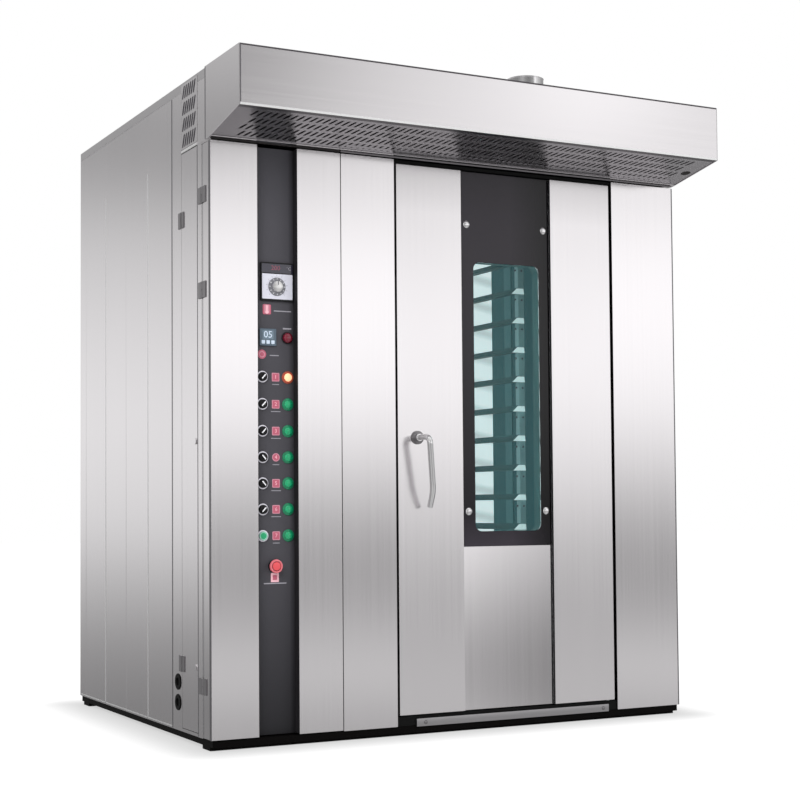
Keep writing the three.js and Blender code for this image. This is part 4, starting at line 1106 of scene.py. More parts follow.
class Workshop:
    """Turns skins into Blender pieces that ride on the frame's bodies."""

    def __init__(self, frame: dict, materials: dict[str, bpy.types.Material]) -> None:
        """Finds the cabinet's corner in the frame.

        Args:
            materials: the finishes by name.
        """
        self.frame = frame
        self.materials = materials
        self.corner = np.array([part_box("roof_panel")[0].x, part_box("front_panel_left")[0].y, 0.0])

    def box(self, node: str) -> np.ndarray:
        """Lowest and highest corner of a node in cabinet millimetres, shape (2, 3)."""
        return (np.array([tuple(c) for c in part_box(node)]) - self.corner) / MM

    def face(self, node: str) -> tuple[Pair, float, float]:
        """Middle (t, z), width and height of a node seen from the front."""
        (left, _, foot), (right, _, top) = self.box(node)
        return ((left + right) / 2, (foot + top) / 2), right - left, top - foot

    def build(self, name: str, parts: list[Part], body: str, slot: str,
              replaces: tuple[str, ...] = ()) -> None:
        """Makes one piece from one or more skins.

        Args:
            name: the piece's name.
            parts: the skins and their finishes.
            body: the body it rides on.
            slot: the record's material slot; not used.
            replaces: the nodes that it stands for.
        """
        start = np.cumsum([0] + [len(p.skin.points) for p in parts])
        points = np.concatenate([p.skin.points for p in parts]) * MM + self.corner
        faces, which = [], []
        used = list(dict.fromkeys(p.finish for p in parts))
        for part, first in zip(parts, start):
            made = [[i + int(first) for i in face] for face in part.skin.faces()]
            faces += made
            which += [used.index(part.finish)] * len(made)
        mesh = bpy.data.meshes.new(name)
        mesh.from_pydata(points.tolist(), [], faces)
        for finish in used:
            mesh.materials.append(self.materials[finish])
        mesh.polygons.foreach_set("material_index", which)
        mesh.shade_smooth()
        mesh.set_sharp_from_angle(angle=math.radians(CREASE))
        mesh.update()
        piece = placed(name, mesh)
        flat = piece.modifiers.new("flat faces stay flat", "WEIGHTED_NORMAL")
        flat.keep_sharp = True
        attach(piece, body)
        if replaces:
            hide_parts(*replaces)
        LOG.info("built %s on %s, %d faces", name, body, len(faces))

    @staticmethod
    def _merged(source: bpy.types.Object, name: str) -> bpy.types.Mesh:
        """A copy of a node's mesh whose loose triangles are joined into flat faces.

        Args:
            source: the node.
            name: the copy's name.

        Returns:
            The copy, without materials.
        """
        mesh = source.data.copy()
        mesh.name = name
        form = bmesh.new()
        form.from_mesh(mesh)
        bmesh.ops.remove_doubles(form, verts=form.verts, dist=MERGE_DISTANCE)
        flat = math.radians(FLAT_ANGLE)
        bmesh.ops.dissolve_limit(form, angle_limit=flat, verts=form.verts, edges=form.edges)
        form.to_mesh(mesh)
        form.free()
        mesh.materials.clear()
        return mesh

    def _patch(self, mesh: bpy.types.Mesh, place: np.ndarray, patches: tuple[Patch, ...]) -> None:
        """Gives the faces inside the patches their own finishes.

        Args:
            mesh: the mesh, which has its main finish.
            place: where its node stands, in metres.
            patches: the blocks of space.
        """
        points = np.zeros(len(mesh.vertices) * 3)
        mesh.vertices.foreach_get("co", points)
        points = (points.reshape(-1, 3) + place - self.corner) / MM
        others = list(dict.fromkeys(patch.finish for patch in patches))
        for other in others:
            mesh.materials.append(self.materials[other])
        for face in mesh.polygons if patches else ():
            own = points[list(face.vertices)]
            for patch in patches:
                if patch.holds(own):
                    face.material_index = 1 + others.index(patch.finish)

    def softened(self, node: str, finish: str, width: float = 0.7, angle: float = 30.0,
                 patches: tuple[Patch, ...] = ()) -> None:
        """Replaces a node by a merged copy of itself whose sharp edges are rounded.

        Args:
            node: the node to copy.
            finish: the copy's finish.
            width: the rounding's width in millimetres.
            angle: edges sharper than this many degrees are rounded.
            patches: blocks of space whose faces take another finish.
        """
        source = self.frame["nodes"][node]
        mesh = self._merged(source, f"{node}_finished")
        mesh.materials.append(self.materials[finish])
        self._patch(mesh, np.array(source.matrix_world.translation), patches)
        mesh.shade_smooth()
        mesh.set_sharp_from_angle(angle=math.radians(angle))
        piece = placed(mesh.name, mesh)
        bevel = piece.modifiers.new("rounded edges", "BEVEL")
        bevel.width = width * MM
        bevel.segments = 2
        bevel.limit_method = "ANGLE"
        bevel.angle_limit = math.radians(angle)
        bevel.harden_normals = True
        record = self.frame["record"]
        body = next(b for b, members in record["behaviour"]["bodies"].items() if node in members)
        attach(piece, body)
        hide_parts(node)
        LOG.info("finished %s on %s", node, body)

    def dress(self, node: str, finish: str) -> None:
        """Gives a node that stays as it is its finish."""
        materials = self.frame["nodes"][node].data.materials
        materials.clear()
        materials.append(self.materials[finish])
        LOG.info("dressed %s", node)

    def lettering(self, text: str, size: float, t: float, s: float, z: float) -> Skin:
        """Plain raised figures that face the front.

        Args:
            text: figures or a unit.
            size: height of the type in millimetres.
            t: middle, across.
            s: front face.
            z: middle, up.

        Returns:
            The figures as one skin.
        """
        curve = bpy.data.curves.new("figures", "FONT")
        curve.body = text
        curve.align_x = "CENTER"
        curve.align_y = "CENTER"
        curve.size = size * TYPE_SCALE
        curve.extrude = TYPE_DEPTH / 2
        curve.resolution_u = 3
        holder = placed("figures", curve)
        mesh = bpy.data.meshes.new_from_object(holder.evaluated_get(bpy.context.evaluated_depsgraph_get()))
        flat = np.zeros(len(mesh.vertices) * 3)
        mesh.vertices.foreach_get("co", flat)
        x, y, up = flat.reshape(-1, 3).T
        points = np.stack([t + x, s + TYPE_DEPTH / 2 - up, z + y], axis=1)
        faces = [np.array(p.vertices) for p in mesh.polygons]
        bpy.data.objects.remove(holder)
        bpy.data.curves.remove(curve)
        bpy.data.meshes.remove(mesh)
        return Skin(points, np.zeros((0, 4), int), np.zeros((0, 3), int), faces)


@dataclass
class Casing:
    """Panels, posts, base and roof of the cabinet."""

    shop: Workshop
    bolt_radius: float = 7.0
    bolt_insets: Pair = (34.0, 24.0)
    entry_s: float = 311.0
    entries: Pair = (127.0, 195.0)
    entry_radius: float = 22.0
    membrane_radius: float = 14.5
    vent_rows: int = 4
    vent_columns: int = 6
    vent_pitch: Pair = (20.6, 54.5)
    vent_foot: float = 1974.0
    vent_edge: float = 133.0
    vent_ends: Pair = (118.0, 268.0)
    vent_slot: float = 15.6
    vent_bridge: float = 10.0
    vent_lean: float = -0.4
    vent_face: float = -0.3
    vent_sheet: float = 0.7
    strip_foot: float = 36.0
    strip_head: float = 1955.0
    hinge_gap: float = 28.0
    doorway_left: float = 463.2
    seams: tuple[float, ...] = (619, 1116)

    def build(self) -> None:
        """Builds every piece of the casing."""
        for node in ("left_cladding", "right_cladding", "rear_cladding", "louver_panel"):
            self.shop.softened(node, "side_steel", 0.5, angle=8.0)
        self.shop.softened("roof_panel", "roof_steel", 0.5, angle=8.0)
        for node in ("left_front_post", "left_mid_post"):
            self.shop.softened(node, "side_steel", 0.8, patches=KNUCKLES)
        for node in ("front_panel_left", "front_panel_right"):
            self.shop.softened(node, "panel_steel", 0.9)
        rest = (("base_frame", "base_paint", 1.5), ("door_surround", "surround_paint", 1.0),
                ("threshold_bar", "bar_steel", 0.8))
        for node, finish, width in rest:
            self.shop.softened(node, finish, width)
        self._threshold_bolts()
        self._cable_bushes()
        self._vents()
        self._corner_strip()
        self._hinge_plates()
        self._fillers()

    def _trim(self, name: str, parts: list[Part]) -> None:
        """Builds a fixed steel trim piece."""
        self.shop.build(name, parts, "root", "stainless_panel")

    def _threshold_bolts(self) -> None:
        """Two button-head bolts in the bar along the doorway's foot."""
        low, high = self.shop.box("threshold_bar")
        middle, r = (low[2] + high[2]) / 2, self.bolt_radius
        left, right = self.bolt_insets
        for side, t in (("left", low[0] + left), ("right", high[0] - right)):
            head = [(0, -4.2), (3.2, -4.0), (5.6, -2.6), (r, 0), (r, 1), (0, 1)]
            bolt = turned(head, Axis.S, (t, low[1], middle), 24)
            self._trim(f"threshold_bolt_{side}", [Part(bolt, "hinge_steel")])

    def _vents(self) -> None:
        """Sheet over the vented panel: leaning slots, a dark sheet behind them as painted shade, and a
        painted highlight along the ledge below.
        """
        across, up = self.vent_pitch
        edges = self.vent_edge + np.arange(self.vent_columns + 1) * across
        parts = []
        for row in range(self.vent_rows):
            low = self.vent_foot + row * up
            slot = (low + self.vent_bridge / 2, low + up - self.vent_bridge / 2)
            cells = slot_row(edges, self.vent_ends, (low, low + up), self.vent_slot, slot)
            sheet = thickened(cells, Axis.T, self.vent_face - self.vent_sheet, self.vent_face, self.vent_lean)
            parts.append(Part(sheet, "side_steel"))
        head = self.vent_foot + self.vent_rows * up
        # Painted shade: a dark sheet behind the slots.
        shade_sheet = slab((self.vent_face, -0.1), self.vent_ends, (self.vent_foot + 2, head - 2), 0.05)
        self._trim("louver_sheet", [*parts, Part(shade_sheet, "vent_shade_dark")])
        # Painted highlight along the ledge below the vents.
        ledge = slab((-1.8, 0.2), (122, 268), (1963, 1971), 0.6)
        self._trim("louver_ledge_highlight", [Part(ledge, "painted_highlight_steel")])

    def _corner_strip(self) -> None:
        """Turned edge of the front post, in stretches between the control door's hinges."""
        gaps = (z + side * self.hinge_gap for z in CONTROL_HINGES for side in (-1, 1))
        ends = [self.strip_foot, *gaps, self.strip_head]
        parts = [Part(slab((0.6, 3.0), (67.2, 80.6), stretch, 0.5), "fold_steel")
                 for stretch in zip(ends[::2], ends[1::2])]
        for s, width, top in ((119.5, 6.0, 1962.0), (366.0, 9.0, 2168.0)):
            seam = slab((-0.25, 0.2), (s - width / 2, s + width / 2), (37, top), 0.1)
            parts.append(Part(seam, "seam_steel"))
        parts.append(Part(slab((0.2, 2.4), (1.0, 80.4), (1956.6, 1962), 0.3), "side_steel"))
        self._trim("front_post_edges", parts)

    def _hinge_plates(self) -> None:
        """Dark cover plates on both leaves of every hinge."""
        for name, heights, door, post in (("control_door", CONTROL_HINGES, (41.6, 67.6), (80.4, 106)),
                                          ("service_door", SERVICE_HINGES, (246.6, 267.4), (274.6, 296.4))):
            for body, span in ((name, door), ("root", post)):
                parts = [Part(slab((-3.2, -0.05), span, (z - HINGE_HALF, z + HINGE_HALF), 0.3), "hinge_steel")
                         for z in heights]
                self.shop.build(f"{name}_hinge_covers_{body}", parts, body, "stainless_panel")

    def _fillers(self) -> None:
        """Dark strips as painted shade under the hood at the cabinet's head, painted highlights on the side's
        folded seam edges and along its foot, and the right panel's dark folded edge.
        """
        low, high = self.shop.box("front_panel_right")
        left = self.doorway_left
        # Painted shade: dark strips fill the gap under the hood.
        stretches = (((1.0, left), "seal_silicone"), ((left + 0.4, high[0] - 1), "lip_shade_steel"))
        self._trim("hood_gap_shade_strip", [Part(slab(stretch, (-0.8, 1.2), (1959.0, 1962.4), 0.3), finish)
                                       for stretch, finish in stretches])
        # Painted highlights beside the side's seams and along its foot.
        glints = [slab((-0.25, 0.1), (s + 2.6, s + 8.6), (40, 1962), 0.1) for s in self.seams]
        glints.append(slab((-0.25, 0.1), (372, 1445), (39.5, 43.5), 0.1))
        self._trim("side_seam_highlights", [Part(skin, "painted_highlight_steel") for skin in glints])
        edge = slab((high[0] - 5.0, high[0] - 0.2), (low[1] - 0.3, low[1] + 0.3),
                    (low[2] + 1, high[2] - 1), 0.1)
        self._trim("right_panel_edge", [Part(edge, "seam_steel")])

    def _cable_bushes(self) -> None:
        """A rubber bush with a lip and a thin membrane in each cable entry."""
        r, inner, sides = self.entry_radius, self.membrane_radius, 40
        lip = [(14, -3), (r + 3.5, -3), (r + 5, -1.8), (r + 5, -0.5), (r - 0.6, -0.2), (r - 0.6, 4), (14, 4)]
        disc = [(0, 1), (inner, 1), (inner, 2.2), (0, 2.2)]
        for place, z in zip(("lower", "upper"), self.entries):
            centre = (0, self.entry_s, z)
            parts = [Part(turned(lip, Axis.T, centre, sides), "surround_paint"),
                     Part(turned(disc, Axis.T, centre, sides), "hole_black")]
            self.shop.build(f"cable_bush_{place}", parts, "root", "silicone_seal")


@dataclass
class Hood:
    """Hood over the door: canopy, ends, punched grille and outlet."""

    shop: Workshop
    rows: int = 4
    columns: int = 76
    slot_width: float = 10.0
    bridge: float = 13.0
    lean: float = -0.3
    sheet: float = 1.6
    plain_end: float = 62.0
    plain_edge: float = 22.0
    plug: Pair = (32.0, 0.48)
    ledge_left: float = 463.6
    foot: float = 2009.0
    hem: float = 7.6
    outlet_radii: Pair = (61.5, 63.5)

    def build(self) -> None:
        """Builds every piece of the hood."""
        # Painted shade on the underside of the hood's lip.
        lip = Patch("lip_shade_steel", (self.foot - 4, self.foot + 3.2), (-270, -225))
        for node in ("hood_shell", "hood_end_left", "hood_end_right"):
            self.shop.softened(node, "hood_steel", 0.7, patches=(lip,))
        self._grille()
        self._edges()
        self._collar()

    def _trim(self, name: str, *parts: Part, replaces: tuple[str, ...] = ()) -> None:
        """Builds a fixed steel piece of the hood."""
        self.shop.build(name, list(parts), "root", "stainless_panel", replaces)

    def _edges(self) -> None:
        """A painted highlight as the hem along the fascia's foot, and the dark seams along its top and its
        left edge.
        """
        low, high = self.shop.box("hood_shell")
        front, foot, top = low[1], self.foot, high[2]
        across, face = (low[0] + 1, high[0] - 1), (front - 0.3, front + 0.6)
        self._trim("hood_hem_highlight", Part(slab(across, face, (foot, foot + self.hem), 0.4), "painted_highlight_steel"))
        self._trim("hood_top_seam", Part(slab(across, face, (top - 5.5, top), 0.3), "edge_black"))
        edge = slab((low[0] + 0.4, low[0] + 4), (front - 0.3, front + 0.5), (foot + 8, top - 5), 0.2)
        left = self.shop.box("hood_end_left")[0][0]
        fold = slab((left - 0.2, left + 0.6), (25.5, 33.5), (1963, top - 1), 0.2)
        self._trim("hood_side_seams", Part(edge, "seam_steel"), Part(fold, "seam_steel"))

    def _grille(self) -> None:
        """Sloping sheet with staggered rows of leaning slots, laid on the hood's lips, and a blind plug."""
        low, high = self.shop.box("hood_grille")
        run = high[1] - low[1]
        slope = math.atan2(high[2] - low[2] - self.sheet, run)
        length = run / math.cos(slope)
        left, right = low[0], high[0]
        pitch = (right - left - 2 * self.plain_end) / self.columns
        row_pitch = (length - 2 * self.plain_edge) / self.rows
        skins = []
        for row in range(self.rows):
            v0 = -length + self.plain_edge + row * row_pitch
            field = (-length if row == 0 else v0, 0.0 if row == self.rows - 1 else v0 + row_pitch)
            odd = row % 2
            edges = left + self.plain_end + (np.arange(self.columns - odd + 1) + odd / 2) * pitch
            slot = (v0 + self.bridge / 2, v0 + row_pitch - self.bridge / 2)
            cells = slot_row(edges, (left, right), field, self.slot_width, slot)
            skins.append((thickened(cells, Axis.Z, 0.0, self.sheet, self.lean), "grille_steel"))
        inset, back = self.plug
        head = [(0, -1.6), (14, -1.4), (18, -0.4), (18, 0.4), (0, 0.4)]
        skins.append((turned(head, Axis.Z, (right - inset, -back * length, 0), 32), "seal_silicone"))
        ledge = slab((self.ledge_left, right - 2), (-50, -35), (-0.6, 0.2), 0.2)
        skins.append((ledge, "grille_steel"))
        parts = [Part(skin.turned((0, 0, 0), Axis.T, -math.degrees(slope)).moved(s=high[1], z=low[2]), finish)
                 for skin, finish in skins]
        self._trim("hood_grille_sheet", *parts, replaces=("hood_grille",))

    def _collar(self) -> None:
        """Round outlet with a rolled rim and a flange."""
        low, high = self.shop.box("exhaust_collar")
        middle = (low + high) / 2
        flange, height = (high[0] - low[0]) / 2, high[2] - low[2]
        inner, outer = self.outlet_radii
        profile = [
            (inner, 0), (flange - 0.6, 0), (flange, 0.8), (flange - 0.4, 2), (outer + 3, 2.2), (outer, 5),
            (outer, height - 4), (outer + 1.2, height - 3), (outer + 1.2, height - 1), (outer, height),
            (inner + 0.4, height), (inner, height - 1),
        ]
        collar = turned(profile, Axis.Z, (middle[0], middle[1], low[2]), 72)
        self._trim("exhaust_collar_rolled", Part(collar, "polished_steel"), replaces=("exhaust_collar",))


@dataclass
class OvenDoor:
    """Glazed oven door with its handle."""

    shop: Workshop
    folds: tuple[tuple[str, float], ...] = (("door_skin_left", 925.0), ("door_skin_right", 1293.0))
    window: tuple[float, float, float, float] = (980.0, 1249.0, 685.0, 1625.0)
    window_radius: float = 25.0
    liner: Pair = (18.05, 56.9)
    screw_t: Pair = (953.0, 1270.0)
    screw_z: Pair = (754.0, 1755.0)
    screw_radius: float = 13.0
    seal_width: float = 16.0
    seal_radii: Pair = (20.0, 8.0)
    handle_t: float = 746.0
    handle_z: float = 1007.0
    tube_radius: float = 10.0
    reach: float = 98.0
    drop: float = 182.0
    lean: float = 20.0
    bend: float = 26.0

    def build(self) -> None:
        """Builds every piece of the door."""
        for node, t in self.folds:
            # Painted shade on each skin's return beside the door's gap.
            fold = Patch("painted_shade_grey", (0.0, 2000.0), (-0.5, 12.5), (t - 0.6, t + 0.6))
            self.shop.softened(node, "door_steel", 0.9, patches=(fold,))
        self.shop.softened("door_kick_panel", "kick_steel", 0.9)
        self.shop.softened("door_core", "inner_steel", 0.8)
        self._window()
        self._gasket()
        self._handle()

    def _outline(self, grow: float = 0.0) -> np.ndarray:
        """The window's outline in (t, z), grown by a distance on every side."""
        left, right, bottom, top = self.window
        middle = ((left + right) / 2, (bottom + top) / 2)
        return rounded(middle, right - left + 2 * grow, top - bottom + 2 * grow, self.window_radius + grow, 8)

    def _window(self) -> None:
        """Black-bordered glass, its clear pane, the inner pane and four cap screws."""
        low, high = self.shop.box("window_panel")
        plate = rounded(*self.shop.face("window_panel"), 1.5, 8)
        border = framed(plate, self._outline(), Axis.S, low[1], high[1])
        # The border's finish carries painted reflections.
        self.shop.build("window_border", [Part(border, "glass_border_painted_reflection")], "door", "black_glass",
                        ("window_panel",))
        pane = prism(self._outline(-0.2), Axis.S, low[1] + 0.8, high[1] - 1.2, 0.4)
        self.shop.build("window_pane", [Part(pane, "tinted_glass")], "door", "clear_glass")
        self.shop.dress("inner_glass", "clear_glass")
        # The liner's finish is a painted glow.
        liner = framed(self._outline(4.4), self._outline(0.8), Axis.S, *self.liner, 0.2)
        self.shop.build("window_liner", [Part(liner, "liner_painted_glow")], "door", "stainless_inner")
        r = self.screw_radius
        cap = [(0, -5.2), (r * 0.45, -5.0), (r * 0.8, -4.0), (r, -1.6), (r, 0.3), (0, 0.3)]
        for row, z in zip(("lower", "upper"), self.screw_z):
            for side, t in zip(("left", "right"), self.screw_t):
                screw = [Part(turned(cap, Axis.S, (t, low[1], z), 28), "polished_steel")]
                self.shop.build(f"window_screw_{row}_{side}", screw, "door", "polished_steel")

    def _gasket(self) -> None:
        """Soft seal round the doorway, a rounded section carried along the opening."""
        low, high = self.shop.box("door_gasket")
        middle, width, height = self.shop.face("door_gasket")
        outside, inside = self.seal_radii
        outer = rounded(middle, width, height, outside, 6)
        inner = rounded(middle, width - 2 * self.seal_width, height - 2 * self.seal_width, inside, 6)
        seal = framed(outer, inner, Axis.S, low[1], high[1], 1.8)
        self.shop.build("door_seal", [Part(seal, "seal_silicone")], "door", "silicone_seal", ("door_gasket",))

    def _handle(self) -> None:
        """Bent tube with its spindle and latch tongue, and the rose that it turns in."""
        t, z = self.handle_t, self.handle_z
        centre = (t, 0, z)
        rose = [(7, -0.4), (22.4, -0.4), (23, -1.0), (23, -4.6), (22, -6.6), (19.5, -8), (12.5, -8.4),
                (7, -8.4)]
        ring = turned(rose, Axis.S, centre, 64)
        self.shop.build("handle_rose_turned", [Part(ring, "rose_steel")], "door", "polished_steel",
                        ("handle_rose",))
        out, bottom = -(self.reach - self.tube_radius), -self.drop
        bends = [(0, -9, 0), (0, out, 0), (self.lean, out + 15, bottom),
                 (self.lean + 4, out + 47, bottom - 55)]
        path = rounded_path(bends, self.bend, 14) + np.array(centre)
        lever = tube(path, self.tube_radius, (1, 0, 0), 36, 0.35)
        neck = turned([(0, -20), (12, -20), (13, -19), (13, -9.6), (12, -8.8), (0, -8.8)], Axis.S, centre, 40)
        spindle = turned([(0, -9), (6, -9), (6, 83), (0, 83)], Axis.S, centre, 24)
        tongue = slab((t - 6, t + 6), (76, 83), (z - 10, z + 34), 0.8)
        parts = [Part(lever, "tube_steel"), Part(neck, "tube_steel"), Part(spindle, "galvanised_steel"),
                 Part(tongue, "galvanised_steel")]
        self.shop.build("door_handle_tube", parts, "handle", "polished_steel", ("door_handle",))


@dataclass
class ControlDoor:
    """Control door with everything on its fascia."""

    shop: Workshop
    face: float = 34.0
    layer: float = 0.3
    left_column: float = 190.0
    middle_column: float = 238.5
    right_column: float = 281.0
    rows: tuple[float, ...] = (1200.0, 1111.0, 1023.0, 937.0, 852.0, 767.0, 681.0)
    turned_left: tuple[int, ...] = (3, 4)
    round_tile: int = 3
    knob_turn: float = 42.0
    collar_height: float = 5.0
    scale_radius: float = 36.0
    dial_radius: float = 25.5
    heat_tile: Pair = (208.5, 1422.0)
    timer: Pair = (210.0, 1330.0)
    timer_size: Triple = (59.0, 56.0, 6.0)
    time_tile: Pair = (190.5, 1273.7)
    alarm: Pair = (280.0, 1330.0)
    stop: Triple = (229.0, 582.0, 24.0)
    stop_tile: Pair = (233.0, 545.0)

    def build(self) -> None:
        """Builds the door, its fascia and every control."""
        self.shop.softened("control_door", "panel_steel", 0.9, patches=KNUCKLES)
        low, high = self.shop.box("control_fascia")
        plate = slab((low[0], high[0]), (self.face, self.face + 2.6), (low[2], high[2]), 0.4)
        self._fitted("fascia_plate", [Part(plate, "fascia_film")], "fascia_grey", ("control_fascia",))
        # Painted shade: a dark strip for the shadow gap at the door's front-left corner.
        seal = slab((-0.25, 0.3), (0.8, 18.0), (36, 1954), 0.1)
        self._fitted("control_door_edge_shade", [Part(seal, "seam_steel")], "stainless_panel")
        self._recess_wall()
        for row, z in enumerate(self.rows):
            self._left_control(row, z)
            self._tile(row, z)
            self._lamp(row, z)
        self._controller()
        self._dial()
        self._heat_tile()
        self._timer()
        self._alarm()
        self._stop()

    def _fitted(self, name: str, parts: list[Part], slot: str, replaces: tuple[str, ...] = ()) -> None:
        """Builds a piece that is fixed to the control door."""
        self.shop.build(name, parts, "control_door", slot, replaces)

    def _on_face(self, profile: list[Pair], t: float, z: float, sides: int = 40) -> Skin:
        """A solid of revolution that stands out of the fascia; the profile is (radius, distance out)."""
        return turned([(radius, -out) for radius, out in profile], Axis.S, (t, self.face, z), sides)

    def _printed(self, *shapes: tuple[np.ndarray, str]) -> list[Part]:
        """Thin printed or stuck-on shapes (outline, finish), each laid on the one before."""
        return [Part(prism(outline, Axis.S, self.face - self.layer * number, self.face + 0.2), finish)
                for number, (outline, finish) in enumerate(shapes, 1)]

    def _rule(self, centre: Pair, length: float, width: float, radius: float) -> list[Part]:
        """A thin printed rule."""
        return self._printed((rounded(centre, length, width, radius, 2), "label_grey"))

    def _ring(self, inner: float, outer: float, height: float, t: float, z: float) -> Skin:
        """A ring on the fascia, between two radii and of a height, with a rounded outer rim."""
        profile = [(inner, 0), (outer, 0), (outer, -height + 1.5), (outer - 0.6, -height + 0.4),
                   (outer - 1.6, -height), (inner, -height)]
        return turned(profile, Axis.S, (t, self.face, z), 48)

    @staticmethod
    def _ticks(centre: Pair, radius: float, turns: list[float], size: Pair,
               depth: Pair, finish: str) -> list[Part]:
        """Marks round a dial that point at its middle.

        Args:
            centre: the dial's middle (t, z).
            radius: distance from the middle to a mark's middle.
            turns: degrees from the right, anticlockwise, one for each mark.
            size: width and length of a mark.
            depth: front and back of a mark.
            finish: the marks' finish.

        Returns:
            The marks.
        """
        ticks = []
        for angle in map(math.radians, turns):
            t, z = centre[0] + radius * math.cos(angle), centre[1] + radius * math.sin(angle)
            tick = prism(rounded((t, z), *size, 0.3, 2), Axis.S, *depth)
            ticks.append(Part(tick.turned((t, 0, z), Axis.S, 90 - math.degrees(angle)), finish))
        return ticks

    def _recess_wall(self) -> None:
        """Dark sheets on the side walls of the recess, as painted shade."""
        low, high = self.shop.box("control_fascia")
        for side, t in (("left", low[0] - 0.1), ("right", high[0] - 0.3)):
            shade_sheet = slab((t, t + 0.4), (1.2, self.face - 0.1), (low[2] + 1, high[2] - 1), 0.1)
            self._fitted(f"recess_shade_sheet_{side}", [Part(shade_sheet, "painted_shade_grey")], "black_paint")

    def _left_control(self, row: int, z: float) -> None:
        """Ring and control of the left column: a selector, or the push button in the last row.

        Args:
            row: number of the row, from 0.
            z: its height.
        """
        last = row == len(self.rows) - 1
        inner, outer = (15.0, 19.4) if last else (15.4, 19.6)
        ring = self._ring(inner, outer, self.collar_height, self.left_column, z)
        name = "button_ring" if last else f"selector_ring_{row + 1}"
        self._fitted(name, [Part(ring, "ring_steel")], "polished_steel")
        if last:
            self._button(z)
        else:
            self._selector(row, z)

    def _button(self, z: float) -> None:
        """Push button: a pale rim round a green face."""
        low, high = self.shop.box("push_button")
        front, back = max(low[1], self.face - 7), high[1]
        centre = (self.left_column, 0, z)
        rim = [(10.2, front), (12.4, front + 0.4), (14.4, front + 1.4), (14.4, back), (10.2, back)]
        face = [(0, front + 0.3), (8, front + 0.4), (10.2, front + 0.9), (10.2, back), (0, back)]
        parts = [Part(turned(rim, Axis.S, centre, 40), "green_rim"),
                 Part(turned(face, Axis.S, centre, 40), "green_plastic")]
        self.shop.build("push_button_cap", parts, "push_button", "green_cap", ("push_button",))

    def _selector(self, row: int, z: float) -> None:
        """Round knob with a low grip bar and a white pointer along it.

        Args:
            row: number of the row, from 0.
            z: its height.
        """
        node = f"selector_{row + 1}"
        low, high = self.shop.box(node)
        back = high[1]
        front = max(low[1], back - 12)
        t = self.left_column
        centre = (t, 0.0, z)
        tilt = -self.knob_turn if row in self.turned_left else self.knob_turn
        profile = [(0, back - 8), (12.6, back - 8), (14, back - 7.2), (14.8, back - 6), (14.8, back),
                   (0, back)]
        grip = prism(rounded((t, z), 6.4, 24.0, 2.4, 4), Axis.S, front, back - 7, 1.0)
        mark = prism(rounded((t, z), 4.0, 19.0, 0.8, 2), Axis.S, front - 0.3, front + 0.6)
        parts = [Part(turned(profile, Axis.S, centre, 40), "black_plastic"),
                 Part(grip.turned(centre, Axis.S, tilt), "black_plastic"),
                 Part(mark.turned(centre, Axis.S, tilt), "white_mark")]
        self.shop.build(f"{node}_knob", parts, node, "black_plastic", (node,))

    def _tile(self, row: int, z: float) -> None:
        """Red tile with its row's number and a thin rule below.

        Args:
            row: number of the row, from 0.
            z: its height.
        """
        t = self.middle_column
        edge, field = rounded((t, z), 27.0, 28.0, 3.0, 3), rounded((t, z), 22.0, 23.0, 2.0, 3)
        if row == self.round_tile:
            edge, field = circle((t, z), 13.5, 36), circle((t, z), 10.8, 36)
        number = self.shop.lettering(str(row + 1), 13.0, t, self.face - 0.9, z)
        rule = self._rule((t, z - 24.0), 34.0 if row % 3 else 24.0, 2.2, 0.8)
        parts = [*self._printed((edge, "pink_edge"), (field, "red_tile")), Part(number, "pink_mark"), *rule]
        self._fitted(f"row_tile_{row + 1}", parts, "red_cap")

    def _lamp(self, row: int, z: float) -> None:
        """Pilot lamp: bezel and domed lens; the first is lit.

        Args:
            row: number of the row, from 0.
            z: its height.
        """
        rim, lens = ("green_bezel", "green_plastic") if row else ("lamp_rim_lit", "lamp_lit")
        bezel = [(0, 0), (20.4, 0), (20.4, 2.2), (19.4, 3.6), (16.6, 5.0), (14.4, 5.4), (14, 5.0), (0, 5)]
        dome = [(0, 4.6), (13.6, 4.6), (13.4, 6.0), (12.2, 7.4), (9.8, 8.6), (5.6, 9.7), (0, 10)]
        parts = [Part(self._on_face(profile, self.right_column, z), finish)
                 for profile, finish in ((bezel, rim), (dome, lens))]
        self._fitted(f"pilot_lamp_{row + 1}", parts, "green_cap")

    def _controller(self) -> None:
        """Temperature controller: dark case, pale plate with the dial's scale, and display."""
        low, high = self.shop.box("temp_controller")
        left, right, bottom, top = low[0], high[0], low[2], high[2]
        front, back = low[1], high[1]
        middle, split = (left + right) / 2, top - 38
        lit = (split + top) / 2
        case = rounded(*self.shop.face("temp_controller"), 4.0, 5)
        plate = rounded((middle, (bottom + 6 + split) / 2), right - left - 10, split - bottom - 6, 1.5, 3)
        glass = rounded((middle, (split + 3 + top - 5) / 2), right - left - 8, top - split - 8, 1.5, 3)
        parts = [
            Part(prism(case, Axis.S, front, back, 0.8), "black_plastic"),
            Part(prism(plate, Axis.S, front - 0.5, front + 0.5, 0.2), "pale_plastic"),
            Part(prism(glass, Axis.S, front - 0.3, front + 0.5, 0.2), "display_black"),
            Part(self.shop.lettering("200", 16, middle - 6, front - 0.6, lit), "digits_red"),
            Part(self.shop.lettering("°C", 11, right - 18, front - 0.6, lit), "label_grey")]
        parts += self._ticks(self.shop.face("temp_dial")[0], self.scale_radius,
                             [225 - 27 * step for step in range(11)], (1.2, 6.0), (front - 0.7, front),
                             "label_grey")
        self._fitted("temp_controller_case", parts, "controller_white", ("temp_controller",))

